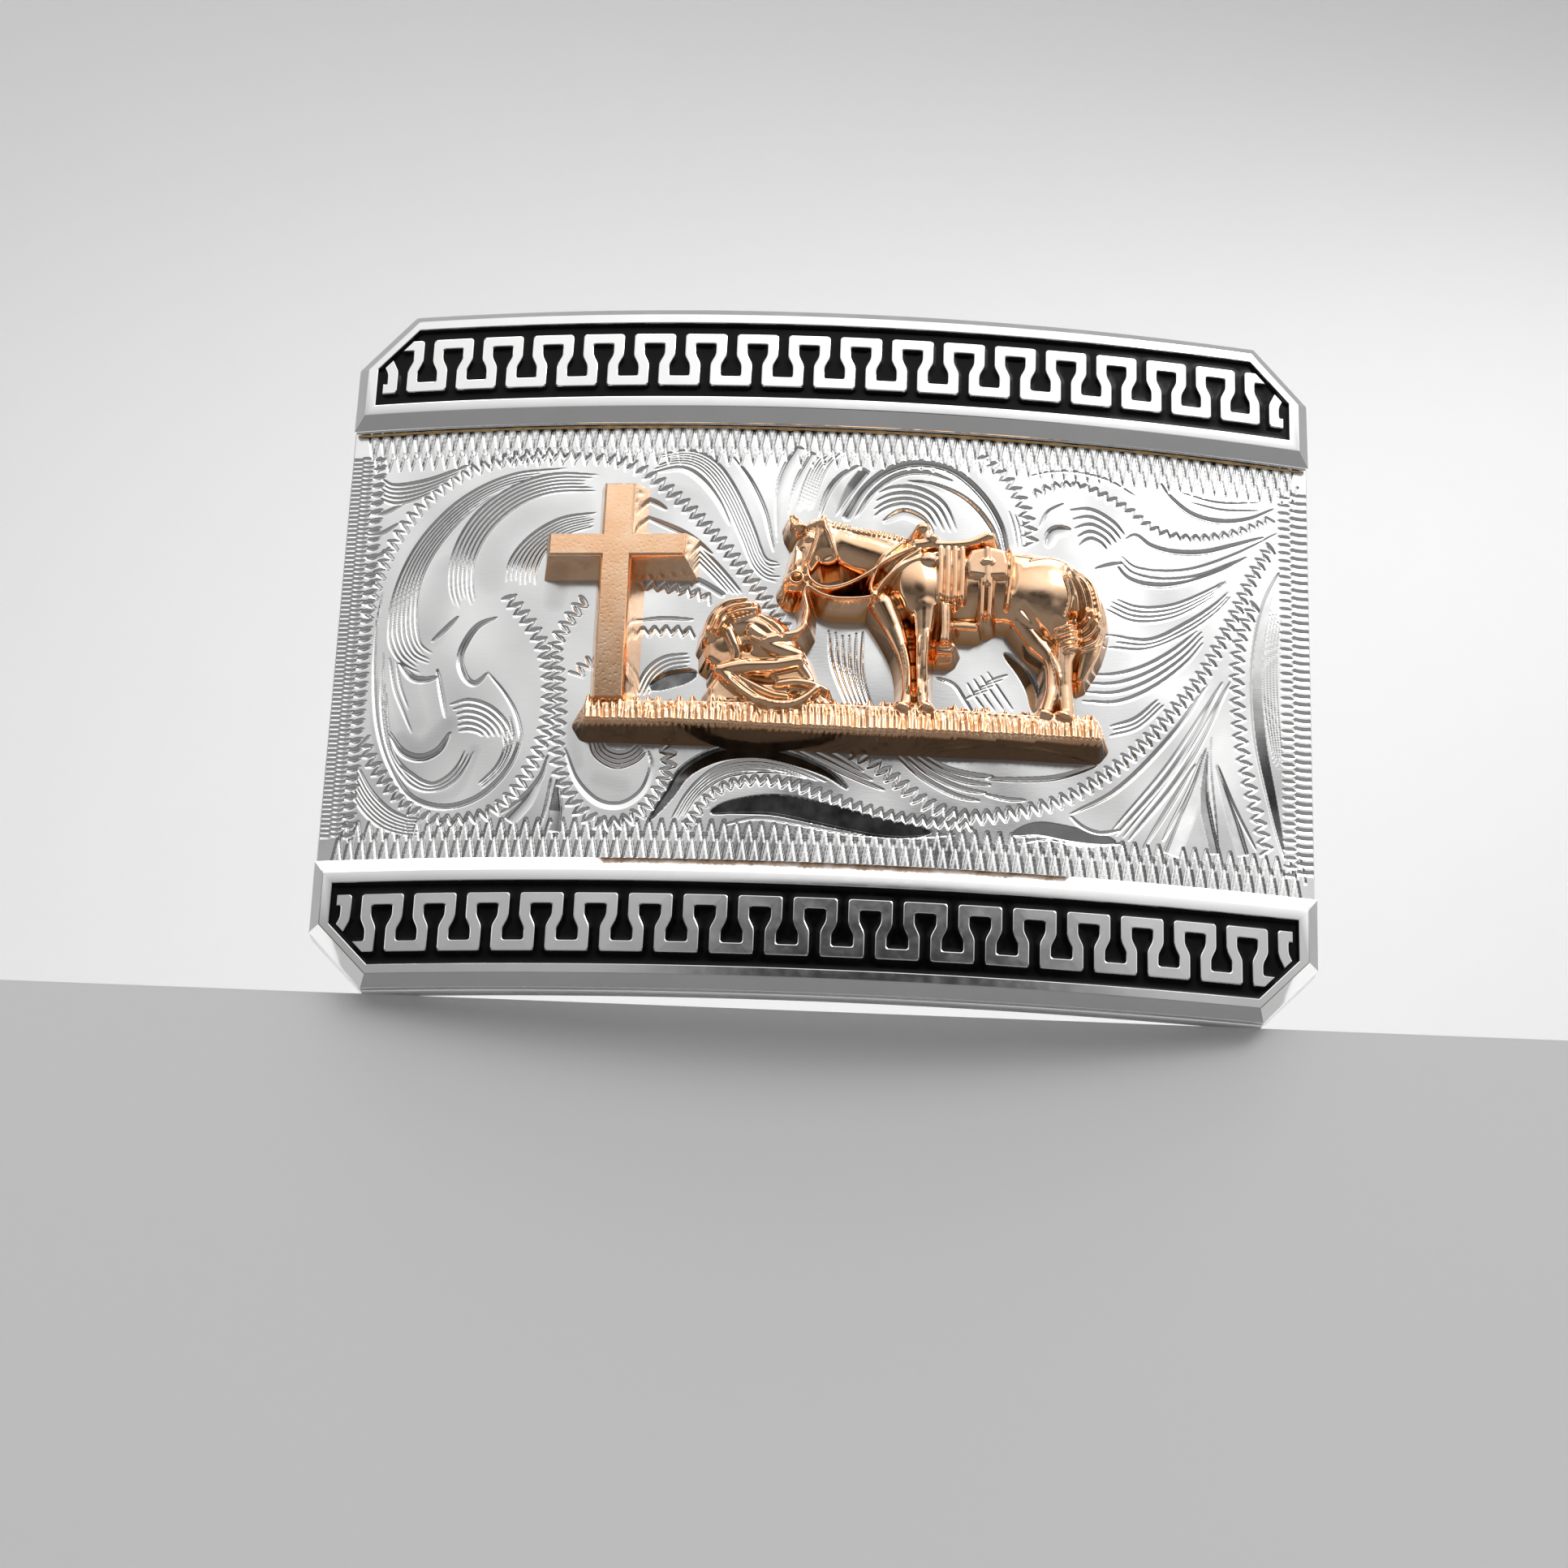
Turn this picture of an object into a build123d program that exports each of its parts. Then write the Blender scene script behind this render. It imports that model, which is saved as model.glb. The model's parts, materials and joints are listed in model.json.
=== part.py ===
from build123d import *
from math import asin, cos, radians, sin, sqrt
import os

# A western dress belt buckle. +X is the viewer's right, -Y is the front and +Z is up, with the
# origin at the centre of the box round the whole buckle. The face is bent about one upright axis
# behind it. A "level" is a radial distance from the enamel's surface, positive towards the front,
# and "arc" is a distance measured round the bent face from its middle.

# ---- Driving dimensions, mm ----
buckle_width = 88.9  # chord across the bent face, 3.5 in
buckle_height = 65.4
face_radius = 190.0  # of the enamel's surface
face_y = -5.9  # where the enamel's level crosses the middle of the buckle
corner_clip = 5.2  # each corner is cut off at 45 degrees

plate_level = -1.1  # front of the engraved plate
plate_thickness = 2.2
rim_level = 0.5  # polished top of a bar's rim and of its key pattern
enamel_thickness = 0.5

bar_depth = 11.7  # height of one bar, measured up the face
bar_bevel = 1.0  # drop of every bevel, and width of the outer ones
bar_inner_bevel = 1.35  # width of the bevel beside the engraved panel
window_height = 7.5  # enamelled window in a bar
window_edge = 1.87  # from the buckle's top edge to the window
window_side = 1.95  # from the buckle's side to the window
window_clip = 3.8

key_pitch = 4.763
key_stroke = 1.0
key_half_height = 2.15  # from the row's middle line to the middle of its outer runs
key_neck = 0.48  # half height of the slanted step in each leg
key_wide = 0.30 * key_pitch  # half width of a loop at its closed end
key_narrow = 0.20 * key_pitch  # half width of a loop at its mouth
key_side_gap = 0.6  # enamel left between the pattern and the window's sides
keys_each_side = 9

cross_level = 2.7
cross_middle = -18.75
cross_foot = -7.9
cross_head = 14.6
cross_post_width = 4.4
cross_arm_middle = 7.6
cross_arm_height = 3.9
cross_arm_length = 14.0
cross_draft = 13.0  # degrees, on every wall

figure_level = 2.9
ground_top = -7.5
ground_step = -16.3  # where the ground steps down for the cross's foot

wire_radius = 1.5
running_gap = 0.05  # radial clearance of the wire's ends in the hinge tube
hinge_x = 27.0
hinge_tube_radius = 2.5
hinge_tube_length = 24.0
hinge_base_width = 11.0
hinge_base_length = 20.0
hinge_base_thickness = 2.0
hinge_base_corner = 2.0
hinge_cradle_depth = 0.6
bail_reach = 15.0  # from the hinge's axis to the middle of the cross wire
bail_slot = 42.0  # clear height between the bail's arms, for a 38 mm strap
bail_bend = 4.5  # bend radius on the wire's middle line
bail_grip = 8.0  # length of each wire end inside the tube
bail_rest_angle = 15.0  # degrees, swung back from the plate to leave room for the strap

hook_x = -33.0
hook_radius = 2.2
hook_length = 5.5
hook_lean = 18.0  # degrees, away from the buckle's middle
hook_tip_chamfer = 0.5
hook_root_length = 4.0  # long enough to reach the plate
hook_spigot_radius = 1.5  # of the thinner root, which is brazed into the pad
hook_braze_gap = 0.2  # between the pad and the peg's shoulder
hook_base_radius = 4.5
hook_base_thickness = 1.9  # in the middle of the wedge-shaped pad

rivet_radius = 0.8
rivet_head_radius = 1.5
rivet_head_height = 0.5
rivet_crown_radius = 1.0
rivet_head_seat = 0.01  # a flat head bridges the plate's hollow back
rivet_depth = 1.6  # length of shank inside a casting
rivet_shank_length = rivet_head_seat + plate_thickness + rivet_depth
cross_rivet_spots = [(cross_middle, 7.6), (cross_middle, -4.5)]
figure_rivet_spots = [(14.0, 5.0), (-6.5, -4.5), (17.0, -9.0)]

# ---- Worked-out values ----
axis_y = face_y + face_radius
back_level = plate_level - plate_thickness
plate_front_radius = face_radius + plate_level
plate_back_radius = face_radius + back_level
half_arc = face_radius * asin(buckle_width / 2 / face_radius)
half_height = buckle_height / 2
bar_inner = half_height - bar_depth
window_top = half_height - window_edge
window_bottom = window_top - window_height
window_middle = window_top - window_height / 2
block_depth = 60.0  # enough to pass through every level
tall = 2 * buckle_height
base_align = (Align.CENTER, Align.CENTER, Align.MIN)
top_align = (Align.CENTER, Align.CENTER, Align.MAX)
face_sheet = Plane.XZ.offset(-block_depth / 2)  # a sketch here is seen as from the front


def across(arc):
    """Width position of a point that lies this far round the bent face."""
    return face_radius * sin(arc / face_radius)


def back_y(x):
    """Depth of the plate's hollow back at this width position."""
    return axis_y - sqrt(plate_back_radius**2 - x**2)


hinge_base_y = back_y(hinge_x) + hinge_base_thickness
hinge_y = hinge_base_y + hinge_tube_radius - hinge_cradle_depth
bail_direction = Vector(cos(radians(bail_rest_angle)), sin(radians(bail_rest_angle)), 0)
arm_height = bail_slot / 2 + wire_radius
wire_end = hinge_tube_length / 2 - bail_grip
hook_base_y = back_y(hook_x) + hook_base_thickness
hook_direction = Vector(-sin(radians(hook_lean)), cos(radians(hook_lean)), 0)


def clipped_outline(half, low, high, clips):
    """Corners of a panel on the bent face, its bottom and top corners clipped by the two sizes."""
    low_clip, high_clip = clips
    right = [(half - low_clip, low), (half, low + low_clip)]
    right += [(half, high - high_clip), (half - high_clip, high)]
    corners = right + [(-arc, height) for arc, height in reversed(right)]
    points = [(across(arc), height) for arc, height in corners]
    return [point for i, point in enumerate(points) if point != points[i - 1]]


def shifted(points, distance):
    """The open path moved sideways by a distance, with mitred corners."""
    line = [Vector(*point) for point in points]
    runs = [(after - before).normalized() for before, after in zip(line, line[1:])]
    moved = []
    for corner, into, away in zip(line, runs[:1] + runs, runs + runs[-1:]):
        side = Vector(-away.Y, away.X)
        mitre = (Vector(-into.Y, into.X) + side).normalized()
        moved.append(corner + mitre * (distance / mitre.dot(side)))
    return moved


def key_outline():
    """Closed outline of the running key pattern, whose wide loops close towards the inner edge."""
    loop = [(-key_narrow, key_half_height), (-key_narrow, key_neck)]
    loop += [(-key_wide, -key_neck), (-key_wide, -key_half_height)]
    loop += [(-u, v) for u, v in reversed(loop)]
    turns = range(-keys_each_side, keys_each_side + 1)
    path = [(turn * key_pitch + u, window_middle + v) for turn in turns for u, v in loop]
    band = shifted(path, key_stroke / 2) + shifted(path, -key_stroke / 2)[::-1]
    return [(across(point.X), point.Y) for point in band]


def round_wall(radius, mode):
    """Trims to, or cuts away, everything nearer than a radius to the axis that the face bends round."""
    with Locations((0, axis_y, 0)):
        Cylinder(radius, tall, mode=mode)


def square_to_face(arc, height, level):
    """A plane on the bent face, facing straight out of it."""
    turn = arc / face_radius
    reach = face_radius + level
    origin = (reach * sin(turn), axis_y - reach * cos(turn), height)
    return Plane(origin=origin, x_dir=(cos(turn), sin(turn), 0), z_dir=(sin(turn), -cos(turn), 0))


def rivet_shanks(spots, mode):
    """Rivet shanks, square to the face, from the plate's back into the castings."""
    with Locations(*[square_to_face(arc, height, back_level - rivet_head_seat) for arc, height in spots]):
        Cylinder(rivet_radius, rivet_shank_length, align=base_align, mode=mode)


def rivet_heads(spots):
    """Low conical rivet heads on the plate's back."""
    with Locations(*[square_to_face(arc, height, back_level - rivet_head_seat) for arc, height in spots]):
        Cone(rivet_crown_radius, rivet_head_radius, rivet_head_height, align=top_align)


os.makedirs("parts", exist_ok=True)

# ---- Engraved face plate ----
face_corners = clipped_outline(half_arc, -half_height, half_height, (corner_clip, corner_clip))
with BuildPart() as face_plate:
    with BuildSketch(face_sheet):
        Polygon(*face_corners, align=None)
    extrude(amount=block_depth)
    round_wall(plate_front_radius, Mode.INTERSECT)
    round_wall(plate_back_radius, Mode.SUBTRACT)
    rivet_shanks(cross_rivet_spots + figure_rivet_spots, Mode.SUBTRACT)
face_plate.part.label = "face_plate"
export_step(face_plate.part, "parts/face_plate.step")

# ---- Bevelled bars with a sunk window and a raised running key ----
bar_corners = clipped_outline(half_arc, bar_inner, half_height, (0, corner_clip))
window_half = half_arc - window_side
window_corners = clipped_outline(window_half, window_bottom, window_top, (0, window_clip))
pattern_limits = clipped_outline(window_half - key_side_gap, window_bottom, window_top, (0, window_clip))

with BuildPart() as key_fret:
    with BuildSketch(face_sheet):
        Polygon(*key_outline(), align=None)
        Polygon(*pattern_limits, align=None, mode=Mode.INTERSECT)
    extrude(amount=block_depth)
    round_wall(face_radius + rim_level, Mode.INTERSECT)
    round_wall(face_radius - enamel_thickness, Mode.SUBTRACT)

with BuildPart() as window_space:
    with BuildSketch(face_sheet):
        Polygon(*window_corners, align=None)
    extrude(amount=block_depth)
    round_wall(face_radius - enamel_thickness, Mode.SUBTRACT)

with BuildPart() as top_bar:
    with BuildSketch(face_sheet):
        Polygon(*bar_corners, align=None)
    extrude(amount=block_depth)
    round_wall(face_radius + rim_level, Mode.INTERSECT)
    rim_face = top_bar.faces().filter_by(GeomType.CYLINDER).sort_by(Axis.Y)[0]
    chamfer(rim_face.edges().sort_by(Axis.Z)[1:], length=bar_bevel)
    rim_y = face_y - rim_level
    with BuildSketch(Plane.YZ):
        bevel_high, bevel_foot = (rim_y, bar_inner + bar_inner_bevel), (rim_y + bar_bevel, bar_inner)
        Polygon(bevel_high, bevel_foot, (rim_y - 1, bar_inner), align=None)
    revolve(axis=Axis((0, axis_y, 0), (0, 0, 1)), mode=Mode.SUBTRACT)
    add(window_space.part, mode=Mode.SUBTRACT)
    round_wall(plate_front_radius, Mode.SUBTRACT)
    add(key_fret.part)
top_bar.part.label = "top_bar"
export_step(top_bar.part, "parts/top_bar.step")

with BuildPart() as bottom_bar:
    mirror(top_bar.part, about=Plane.XY)
bottom_bar.part.label = "bottom_bar"
export_step(bottom_bar.part, "parts/bottom_bar.step")

# ---- Black enamel that fills the windows round the key pattern ----
with BuildPart() as top_bar_enamel:
    add(window_space.part)
    round_wall(face_radius, Mode.INTERSECT)
    add(key_fret.part, mode=Mode.SUBTRACT)
top_bar_enamel.part.label = "top_bar_enamel"
export_step(top_bar_enamel.part, "parts/top_bar_enamel.step")

with BuildPart() as bottom_bar_enamel:
    mirror(top_bar_enamel.part, about=Plane.XY)
bottom_bar_enamel.part.label = "bottom_bar_enamel"
export_step(bottom_bar_enamel.part, "parts/bottom_bar_enamel.step")

# ---- Cross casting, its foot resting on the strip of ground ----
with BuildPart() as cross:
    with BuildSketch(square_to_face(cross_middle, 0, plate_level)):
        with Locations((0, (cross_head + cross_foot) / 2)):
            Rectangle(cross_post_width, cross_head - cross_foot)
        with Locations((0, cross_arm_middle)):
            Rectangle(cross_arm_length, cross_arm_height)
    extrude(amount=cross_level - plate_level, taper=cross_draft)
    round_wall(plate_front_radius, Mode.SUBTRACT)
    rivet_shanks(cross_rivet_spots, Mode.SUBTRACT)
cross.part.label = "cross"
export_step(cross.part, "parts/cross.step")

# ---- Figure casting: horse, kneeling figure and the strip of ground that joins them ----
with BuildPart() as figure_group:
    with BuildSketch(face_sheet):
        with BuildLine():  # horse
            Polyline((-0.9, 3.0), (-1.6, 5.2), (-1.9, 3.6), (-3.4, 3.5), (-4.0, 4.6), (-3.5, 11.1))
            Polyline((-3.5, 11.1), (-2.4, 10.4), (-0.3, 10.9))
            Spline((-0.3, 10.9), (3.5, 10.4), (7.4, 9.2))
            Polyline((7.4, 9.2), (8.4, 10.3), (9.8, 9.8), (10.2, 8.7))
            Spline((10.2, 8.7), (12.4, 8.6), (14.3, 9.8))
            Spline((14.3, 9.8), (17.5, 8.7), (21.4, 7.6), (24.9, 3.0), (24.6, -0.6), (22.0, -3.8))
            Polyline((22.0, -3.8), (21.6, ground_top), (19.2, ground_top), (20.1, -3.6), (19.3, -1.2))
            Spline((19.3, -1.2), (17.5, 1.6), (14.0, 1.2), (10.9, 0.8))
            Polyline((10.9, 0.8), (10.9, -0.8), (9.9, -0.8), (9.2, 0.9), (9.0, -3.4), (9.2, ground_top))
            Polyline((9.2, ground_top), (6.9, ground_top), (7.1, -3.4), (6.2, -0.8), (4.2, 2.7))
            Spline((4.2, 2.7), (2.0, 2.7), (-0.9, 3.0))
        make_face()
        with BuildLine():  # kneeling figure, bowed to the left, the rein in its raised hand
            Polyline((-9.9, ground_top), (-10.2, -5.8), (-9.4, -3.9), (-11.2, -3.2), (-10.9, -0.4))
            Spline((-10.9, -0.4), (-9.6, 1.7), (-7.0, 2.7), (-5.0, 1.4), (-3.4, -0.6))
            Polyline((-3.4, -0.6), (-2.0, 0.6), (-2.5, 4.2), (-1.3, 4.2), (-1.2, 0.4), (-2.1, -1.7))
            Polyline((-2.1, -1.7), (-0.8, -4.6), (0.4, -5.4), (1.9, ground_top), (-9.9, ground_top))
        make_face()
        with BuildLine():  # strip of ground, stepped down under the cross's foot
            Polyline((-21.0, -10.0), (0.0, -10.4), (25.0, -10.4), (25.6, -9.2), (24.8, ground_top))
            Polyline((24.8, ground_top), (ground_step, ground_top), (ground_step, cross_foot))
            Polyline((ground_step, cross_foot), (-21.6, cross_foot), (-22.0, -9.3), (-21.0, -10.0))
        make_face()
    extrude(amount=block_depth)
    round_wall(face_radius + figure_level, Mode.INTERSECT)
    round_wall(plate_front_radius, Mode.SUBTRACT)
    rivet_shanks(figure_rivet_spots, Mode.SUBTRACT)
figure_group.part.label = "figure_group"
export_step(figure_group.part, "parts/figure_group.step")

# ---- Rivets that hold the castings ----
with BuildPart() as cross_rivets:
    rivet_shanks(cross_rivet_spots, Mode.ADD)
    rivet_heads(cross_rivet_spots)
cross_rivets.part.label = "cross_rivets"
export_step(cross_rivets.part, "parts/cross_rivets.step")

with BuildPart() as figure_rivets:
    rivet_shanks(figure_rivet_spots, Mode.ADD)
    rivet_heads(figure_rivet_spots)
figure_rivets.part.label = "figure_rivets"
export_step(figure_rivets.part, "parts/figure_rivets.step")

# ---- Hinge: a cradle on the plate's back, and a tube brazed into it ----
with BuildPart() as hinge_base:
    with BuildSketch(Plane.XZ.offset(-hinge_base_y)):
        with Locations((hinge_x, 0)):
            RectangleRounded(hinge_base_width, hinge_base_length, hinge_base_corner)
    extrude(amount=block_depth)
    round_wall(plate_back_radius, Mode.INTERSECT)
    with Locations((hinge_x, hinge_y, 0)):
        Cylinder(hinge_tube_radius, hinge_tube_length, mode=Mode.SUBTRACT)
hinge_base.part.label = "hinge_base"
export_step(hinge_base.part, "parts/hinge_base.step")

with BuildPart() as hinge_tube:
    with Locations((hinge_x, hinge_y, 0)):
        Cylinder(hinge_tube_radius, hinge_tube_length)
        Cylinder(wire_radius + running_gap, hinge_tube_length, mode=Mode.SUBTRACT)
hinge_tube.part.label = "hinge_tube"
export_step(hinge_tube.part, "parts/hinge_tube.step")

# ---- Bail: a wire loop for the fixed end of the strap, its ends free to turn in the tube ----
bail_normal = Vector(-bail_direction.Y, bail_direction.X, 0)
bail_plane = Plane((hinge_x, hinge_y, 0), x_dir=bail_direction, z_dir=-bail_normal)
with BuildPart() as bail:
    with BuildLine(bail_plane):
        FilletPolyline(
            (0, wire_end),
            (0, arm_height),
            (bail_reach, arm_height),
            (bail_reach, -arm_height),
            (0, -arm_height),
            (0, -wire_end),
            radius=bail_bend,
        )
    with BuildSketch(Plane(origin=(hinge_x, hinge_y, wire_end))):
        Circle(wire_radius)
    sweep()
bail.part.label = "bail"
export_step(bail.part, "parts/bail.step")

# ---- Hook: a leaning round peg, its thinner root brazed into a wedge-shaped pad on the plate's back ----
hook_seat = Plane(origin=(hook_x, hook_base_y, 0), z_dir=hook_direction)
hook_root = hook_seat.offset(-hook_root_length)
with BuildPart() as hook_base:
    with BuildSketch(hook_root):
        Circle(hook_base_radius)
        Circle(hook_spigot_radius, mode=Mode.SUBTRACT)
    extrude(amount=hook_root_length)
    round_wall(plate_back_radius, Mode.INTERSECT)
hook_base.part.label = "hook_base"
export_step(hook_base.part, "parts/hook_base.step")

with BuildPart() as hook_peg:
    with BuildSketch(hook_root):
        Circle(hook_spigot_radius)
    extrude(amount=hook_root_length + hook_braze_gap)
    round_wall(plate_back_radius, Mode.INTERSECT)
    with BuildSketch(hook_seat.offset(hook_braze_gap)):
        Circle(hook_radius)
    extrude(amount=hook_length - hook_braze_gap)
    chamfer(hook_peg.faces().sort_by(Axis.Y)[-1].edges(), length=hook_tip_chamfer)
hook_peg.part.label = "hook_peg"
export_step(hook_peg.part, "parts/hook_peg.step")
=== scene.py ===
"""Looks of a western dress buckle: an engraved silver face between two enamelled bars, with a cross and
a horse and kneeling figure in rose gold, and the hinge, bail and hook on its back.

Shapes are worked out in millimetres on the bent face, as (arc, height, level): arc runs round the face,
height up it, and level straight out of it from the enamel's surface. They are turned into metres last.
"""

import json
import math

import bpy
import numpy as np
from mathutils import Matrix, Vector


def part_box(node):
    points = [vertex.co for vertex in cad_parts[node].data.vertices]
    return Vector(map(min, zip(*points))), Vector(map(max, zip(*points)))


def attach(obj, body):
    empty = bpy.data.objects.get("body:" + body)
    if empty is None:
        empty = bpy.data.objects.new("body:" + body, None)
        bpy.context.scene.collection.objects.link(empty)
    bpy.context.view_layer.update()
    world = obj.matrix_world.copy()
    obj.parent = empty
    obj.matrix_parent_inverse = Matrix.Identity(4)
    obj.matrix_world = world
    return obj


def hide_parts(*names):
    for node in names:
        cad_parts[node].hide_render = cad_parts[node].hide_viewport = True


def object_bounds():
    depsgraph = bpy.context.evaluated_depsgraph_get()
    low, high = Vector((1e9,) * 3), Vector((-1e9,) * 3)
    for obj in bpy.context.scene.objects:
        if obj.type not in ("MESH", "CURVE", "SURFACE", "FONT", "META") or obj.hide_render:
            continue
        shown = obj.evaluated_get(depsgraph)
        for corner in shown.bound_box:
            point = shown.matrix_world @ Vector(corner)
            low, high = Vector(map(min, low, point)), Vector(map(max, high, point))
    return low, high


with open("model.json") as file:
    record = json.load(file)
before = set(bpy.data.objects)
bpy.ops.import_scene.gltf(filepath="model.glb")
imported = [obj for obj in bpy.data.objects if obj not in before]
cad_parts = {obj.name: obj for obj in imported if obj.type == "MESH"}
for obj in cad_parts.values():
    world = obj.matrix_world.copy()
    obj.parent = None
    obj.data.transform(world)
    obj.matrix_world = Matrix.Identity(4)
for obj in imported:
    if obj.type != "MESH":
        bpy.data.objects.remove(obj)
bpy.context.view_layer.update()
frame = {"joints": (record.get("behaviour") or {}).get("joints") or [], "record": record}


# ---------------------------------------------------------------- sizes, in millimetres
MM = 0.001
FACE_RADIUS = 190.0
PLATE_LEVEL = -1.1
PLATE_THICKNESS = 2.2
RIM_LEVEL = 0.5
ENAMEL_DEPTH = 0.5
CORNER_CLIP = 5.2
BAR_BEVEL = 1.0
BAR_INNER_BEVEL = 1.35
BAR_INNER_DROP = 0.72
WINDOW_HEIGHT = 7.5
WINDOW_EDGE = 1.87
WINDOW_SIDE = 1.95
WINDOW_CLIP = 3.8
KEY_PITCH = 4.763
KEY_STROKE = 1.0
KEY_HALF_HEIGHT = 2.15
KEY_NECK = 0.48
KEY_WIDE = 0.30 * KEY_PITCH
KEY_NARROW = 0.20 * KEY_PITCH
KEY_SIDE_GAP = 0.6
KEYS_EACH_SIDE = 9
ARC_STEPS = 4  # straight runs in a rounded corner

plate_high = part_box("face_plate")[1]
HALF_WIDTH = plate_high.x / MM
HALF_HEIGHT = plate_high.z / MM
BACK_RADIUS = FACE_RADIUS + PLATE_LEVEL - PLATE_THICKNESS
AXIS_Y = plate_high.y / MM + math.sqrt(BACK_RADIUS**2 - HALF_WIDTH**2)
HALF_ARC = FACE_RADIUS * math.asin(HALF_WIDTH / FACE_RADIUS)
BAR_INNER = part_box("top_bar")[0].z / MM
WINDOW_TOP = HALF_HEIGHT - WINDOW_EDGE
WINDOW_LOW = WINDOW_TOP - WINDOW_HEIGHT
WINDOW_HALF = HALF_ARC - WINDOW_SIDE
WINDOW_MIDDLE = (WINDOW_TOP + WINDOW_LOW) / 2


def on_face(shape):
    """Rows of (arc, height, level) in millimetres as points in metres."""
    arc, height, level = np.moveaxis(np.asarray(shape, float), -1, 0)
    x = FACE_RADIUS * np.sin(arc / FACE_RADIUS)
    y = AXIS_Y - np.sqrt((FACE_RADIUS + level) ** 2 - x**2)
    return MM * np.stack([x, y, height], axis=-1)


def back_y(x):
    """Depth of the plate's hollow back, in millimetres, at this width."""
    return AXIS_Y - math.sqrt(BACK_RADIUS**2 - x**2)


# ---------------------------------------------------------------- mesh helpers
def make_piece(name, points, faces, material, slot, nodes=(), body="buckle", sharp=35, painted_shade=None):
    """A mesh piece that rides on a body and stands for CAD nodes."""
    mesh = bpy.data.meshes.new(name)
    faces = faces.tolist() if isinstance(faces, np.ndarray) else faces
    mesh.from_pydata(np.asarray(points).reshape(-1, 3).tolist(), [], faces)
    # the painted shade each point carries: painted shade in hollows and cuts, and painted dark reflections,
    # read by the materials
    if painted_shade is not None:
        stored = mesh.attributes.new("painted_shade", "FLOAT", "POINT").data
        stored.foreach_set("value", painted_shade.astype(np.float32).ravel())
    mesh.validate()
    mesh.shade_smooth()
    if sharp:
        mesh.set_sharp_from_angle(angle=math.radians(sharp))
    mesh.materials.append(material)
    piece = bpy.data.objects.new(name, mesh)
    bpy.context.scene.collection.objects.link(piece)
    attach(piece, body)
    if nodes:
        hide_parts(*nodes)
    return piece


def grid_faces(rows, columns, start=0):
    """Quads of a grid of points, stored row by row from this point on."""
    here = start + np.arange(rows - 1)[:, None] * columns + np.arange(columns - 1)
    above = here + columns
    return np.stack([here, here + 1, above + 1, above], axis=-1).reshape(-1, 4)


def ring_faces(rings, count):
    """Quads that join closed rings of points, each ring having this many."""
    around = np.arange(count)
    level = np.arange(rings - 1)[:, None] * count
    beside = (around + 1) % count
    above = level + count
    return np.stack([level + around, level + beside, above + beside, above + around], -1).reshape(-1, 4)


def revolve(profile, sides):
    """Points and faces of a closed surface of revolution about Z. The profile is (radius, height)."""
    turn = np.linspace(0, 2 * math.pi, sides, endpoint=False)
    points = [[(r * math.cos(t), r * math.sin(t), z) for t in turn] for r, z in profile]
    return np.array(points).reshape(-1, 3), ring_faces(len(profile), sides)


def rounded(profile, radius):
    """The open outline with each inner corner replaced by a small arc, drawn as a quadratic curve."""
    points = [np.array(profile[0], float)]
    for a, b, c in zip(profile, profile[1:], profile[2:]):
        a, b, c = (np.array(p, float) for p in (a, b, c))
        into = min(radius, np.linalg.norm(b - a) / 2) * (a - b) / np.linalg.norm(b - a)
        away = min(radius, np.linalg.norm(c - b) / 2) * (c - b) / np.linalg.norm(c - b)
        for t in np.linspace(0, 1, ARC_STEPS + 1):
            points.append(b + (1 - t) ** 2 * into + t**2 * away)
    return points + [np.array(profile[-1], float)]


# ---------------------------------------------------------------- engraving
# The engraved panel is a height field on the unrolled face. "arc" runs round the face and
# "height" up it, both in millimetres, and every cut is a V or a leaning facet along a curve.

CELL = 0.08
PANEL_HALF_ARC = 44.86
PANEL_HALF_HEIGHT = 21.6
CUT_SLOPE = 0.8
FACET_SLOPE = 0.30
SAMPLE_STEP = 0.06
BROAD_LEG = 0.22  # half widths of a zigzag's two strokes
FINE_LEG = 0.62 * BROAD_LEG
ARCH_PITCH = 1.1


def smooth_curve(points, step=SAMPLE_STEP):
    """Evenly spaced samples of a smooth curve through the given points, with its side normals."""
    knots = np.array(points, float)
    padded = np.vstack([2 * knots[0] - knots[1], knots, 2 * knots[-1] - knots[-2]])
    pieces = []
    for a, b, c, d in zip(padded, padded[1:], padded[2:], padded[3:]):
        t = np.linspace(0, 1, 24, endpoint=False)[:, None]
        bend, twist = 2 * a - 5 * b + 4 * c - d, 3 * b - a - 3 * c + d
        pieces.append(0.5 * (2 * b + (c - a) * t + bend * t**2 + twist * t**3))
    dense = np.vstack(pieces + [knots[-1:]])
    travelled = np.concatenate([[0], np.cumsum(np.hypot(*np.diff(dense, axis=0).T))])
    count = max(3, int(travelled[-1] / step) + 1)
    wanted = np.linspace(0, travelled[-1], count)
    line = np.column_stack([np.interp(wanted, travelled, dense[:, axis]) for axis in (0, 1)])
    along = np.gradient(line, axis=0)
    along /= np.hypot(along[:, 0], along[:, 1])[:, None] + 1e-9
    return line, np.column_stack([-along[:, 1], along[:, 0]])


def swelling(count, shape):
    """Relative width along a stroke: pointed at both ends, at its start, at its end, or even."""
    t = np.linspace(0, 1, count)
    if shape == "both":
        return np.clip(4 * t * (1 - t), 0, 1) ** 0.5
    if shape == "start":
        return np.clip(1.6 * t, 0, 1) ** 0.8
    if shape == "end":
        return np.clip(1.6 * (1 - t), 0, 1) ** 0.8
    return np.ones(count)


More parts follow.
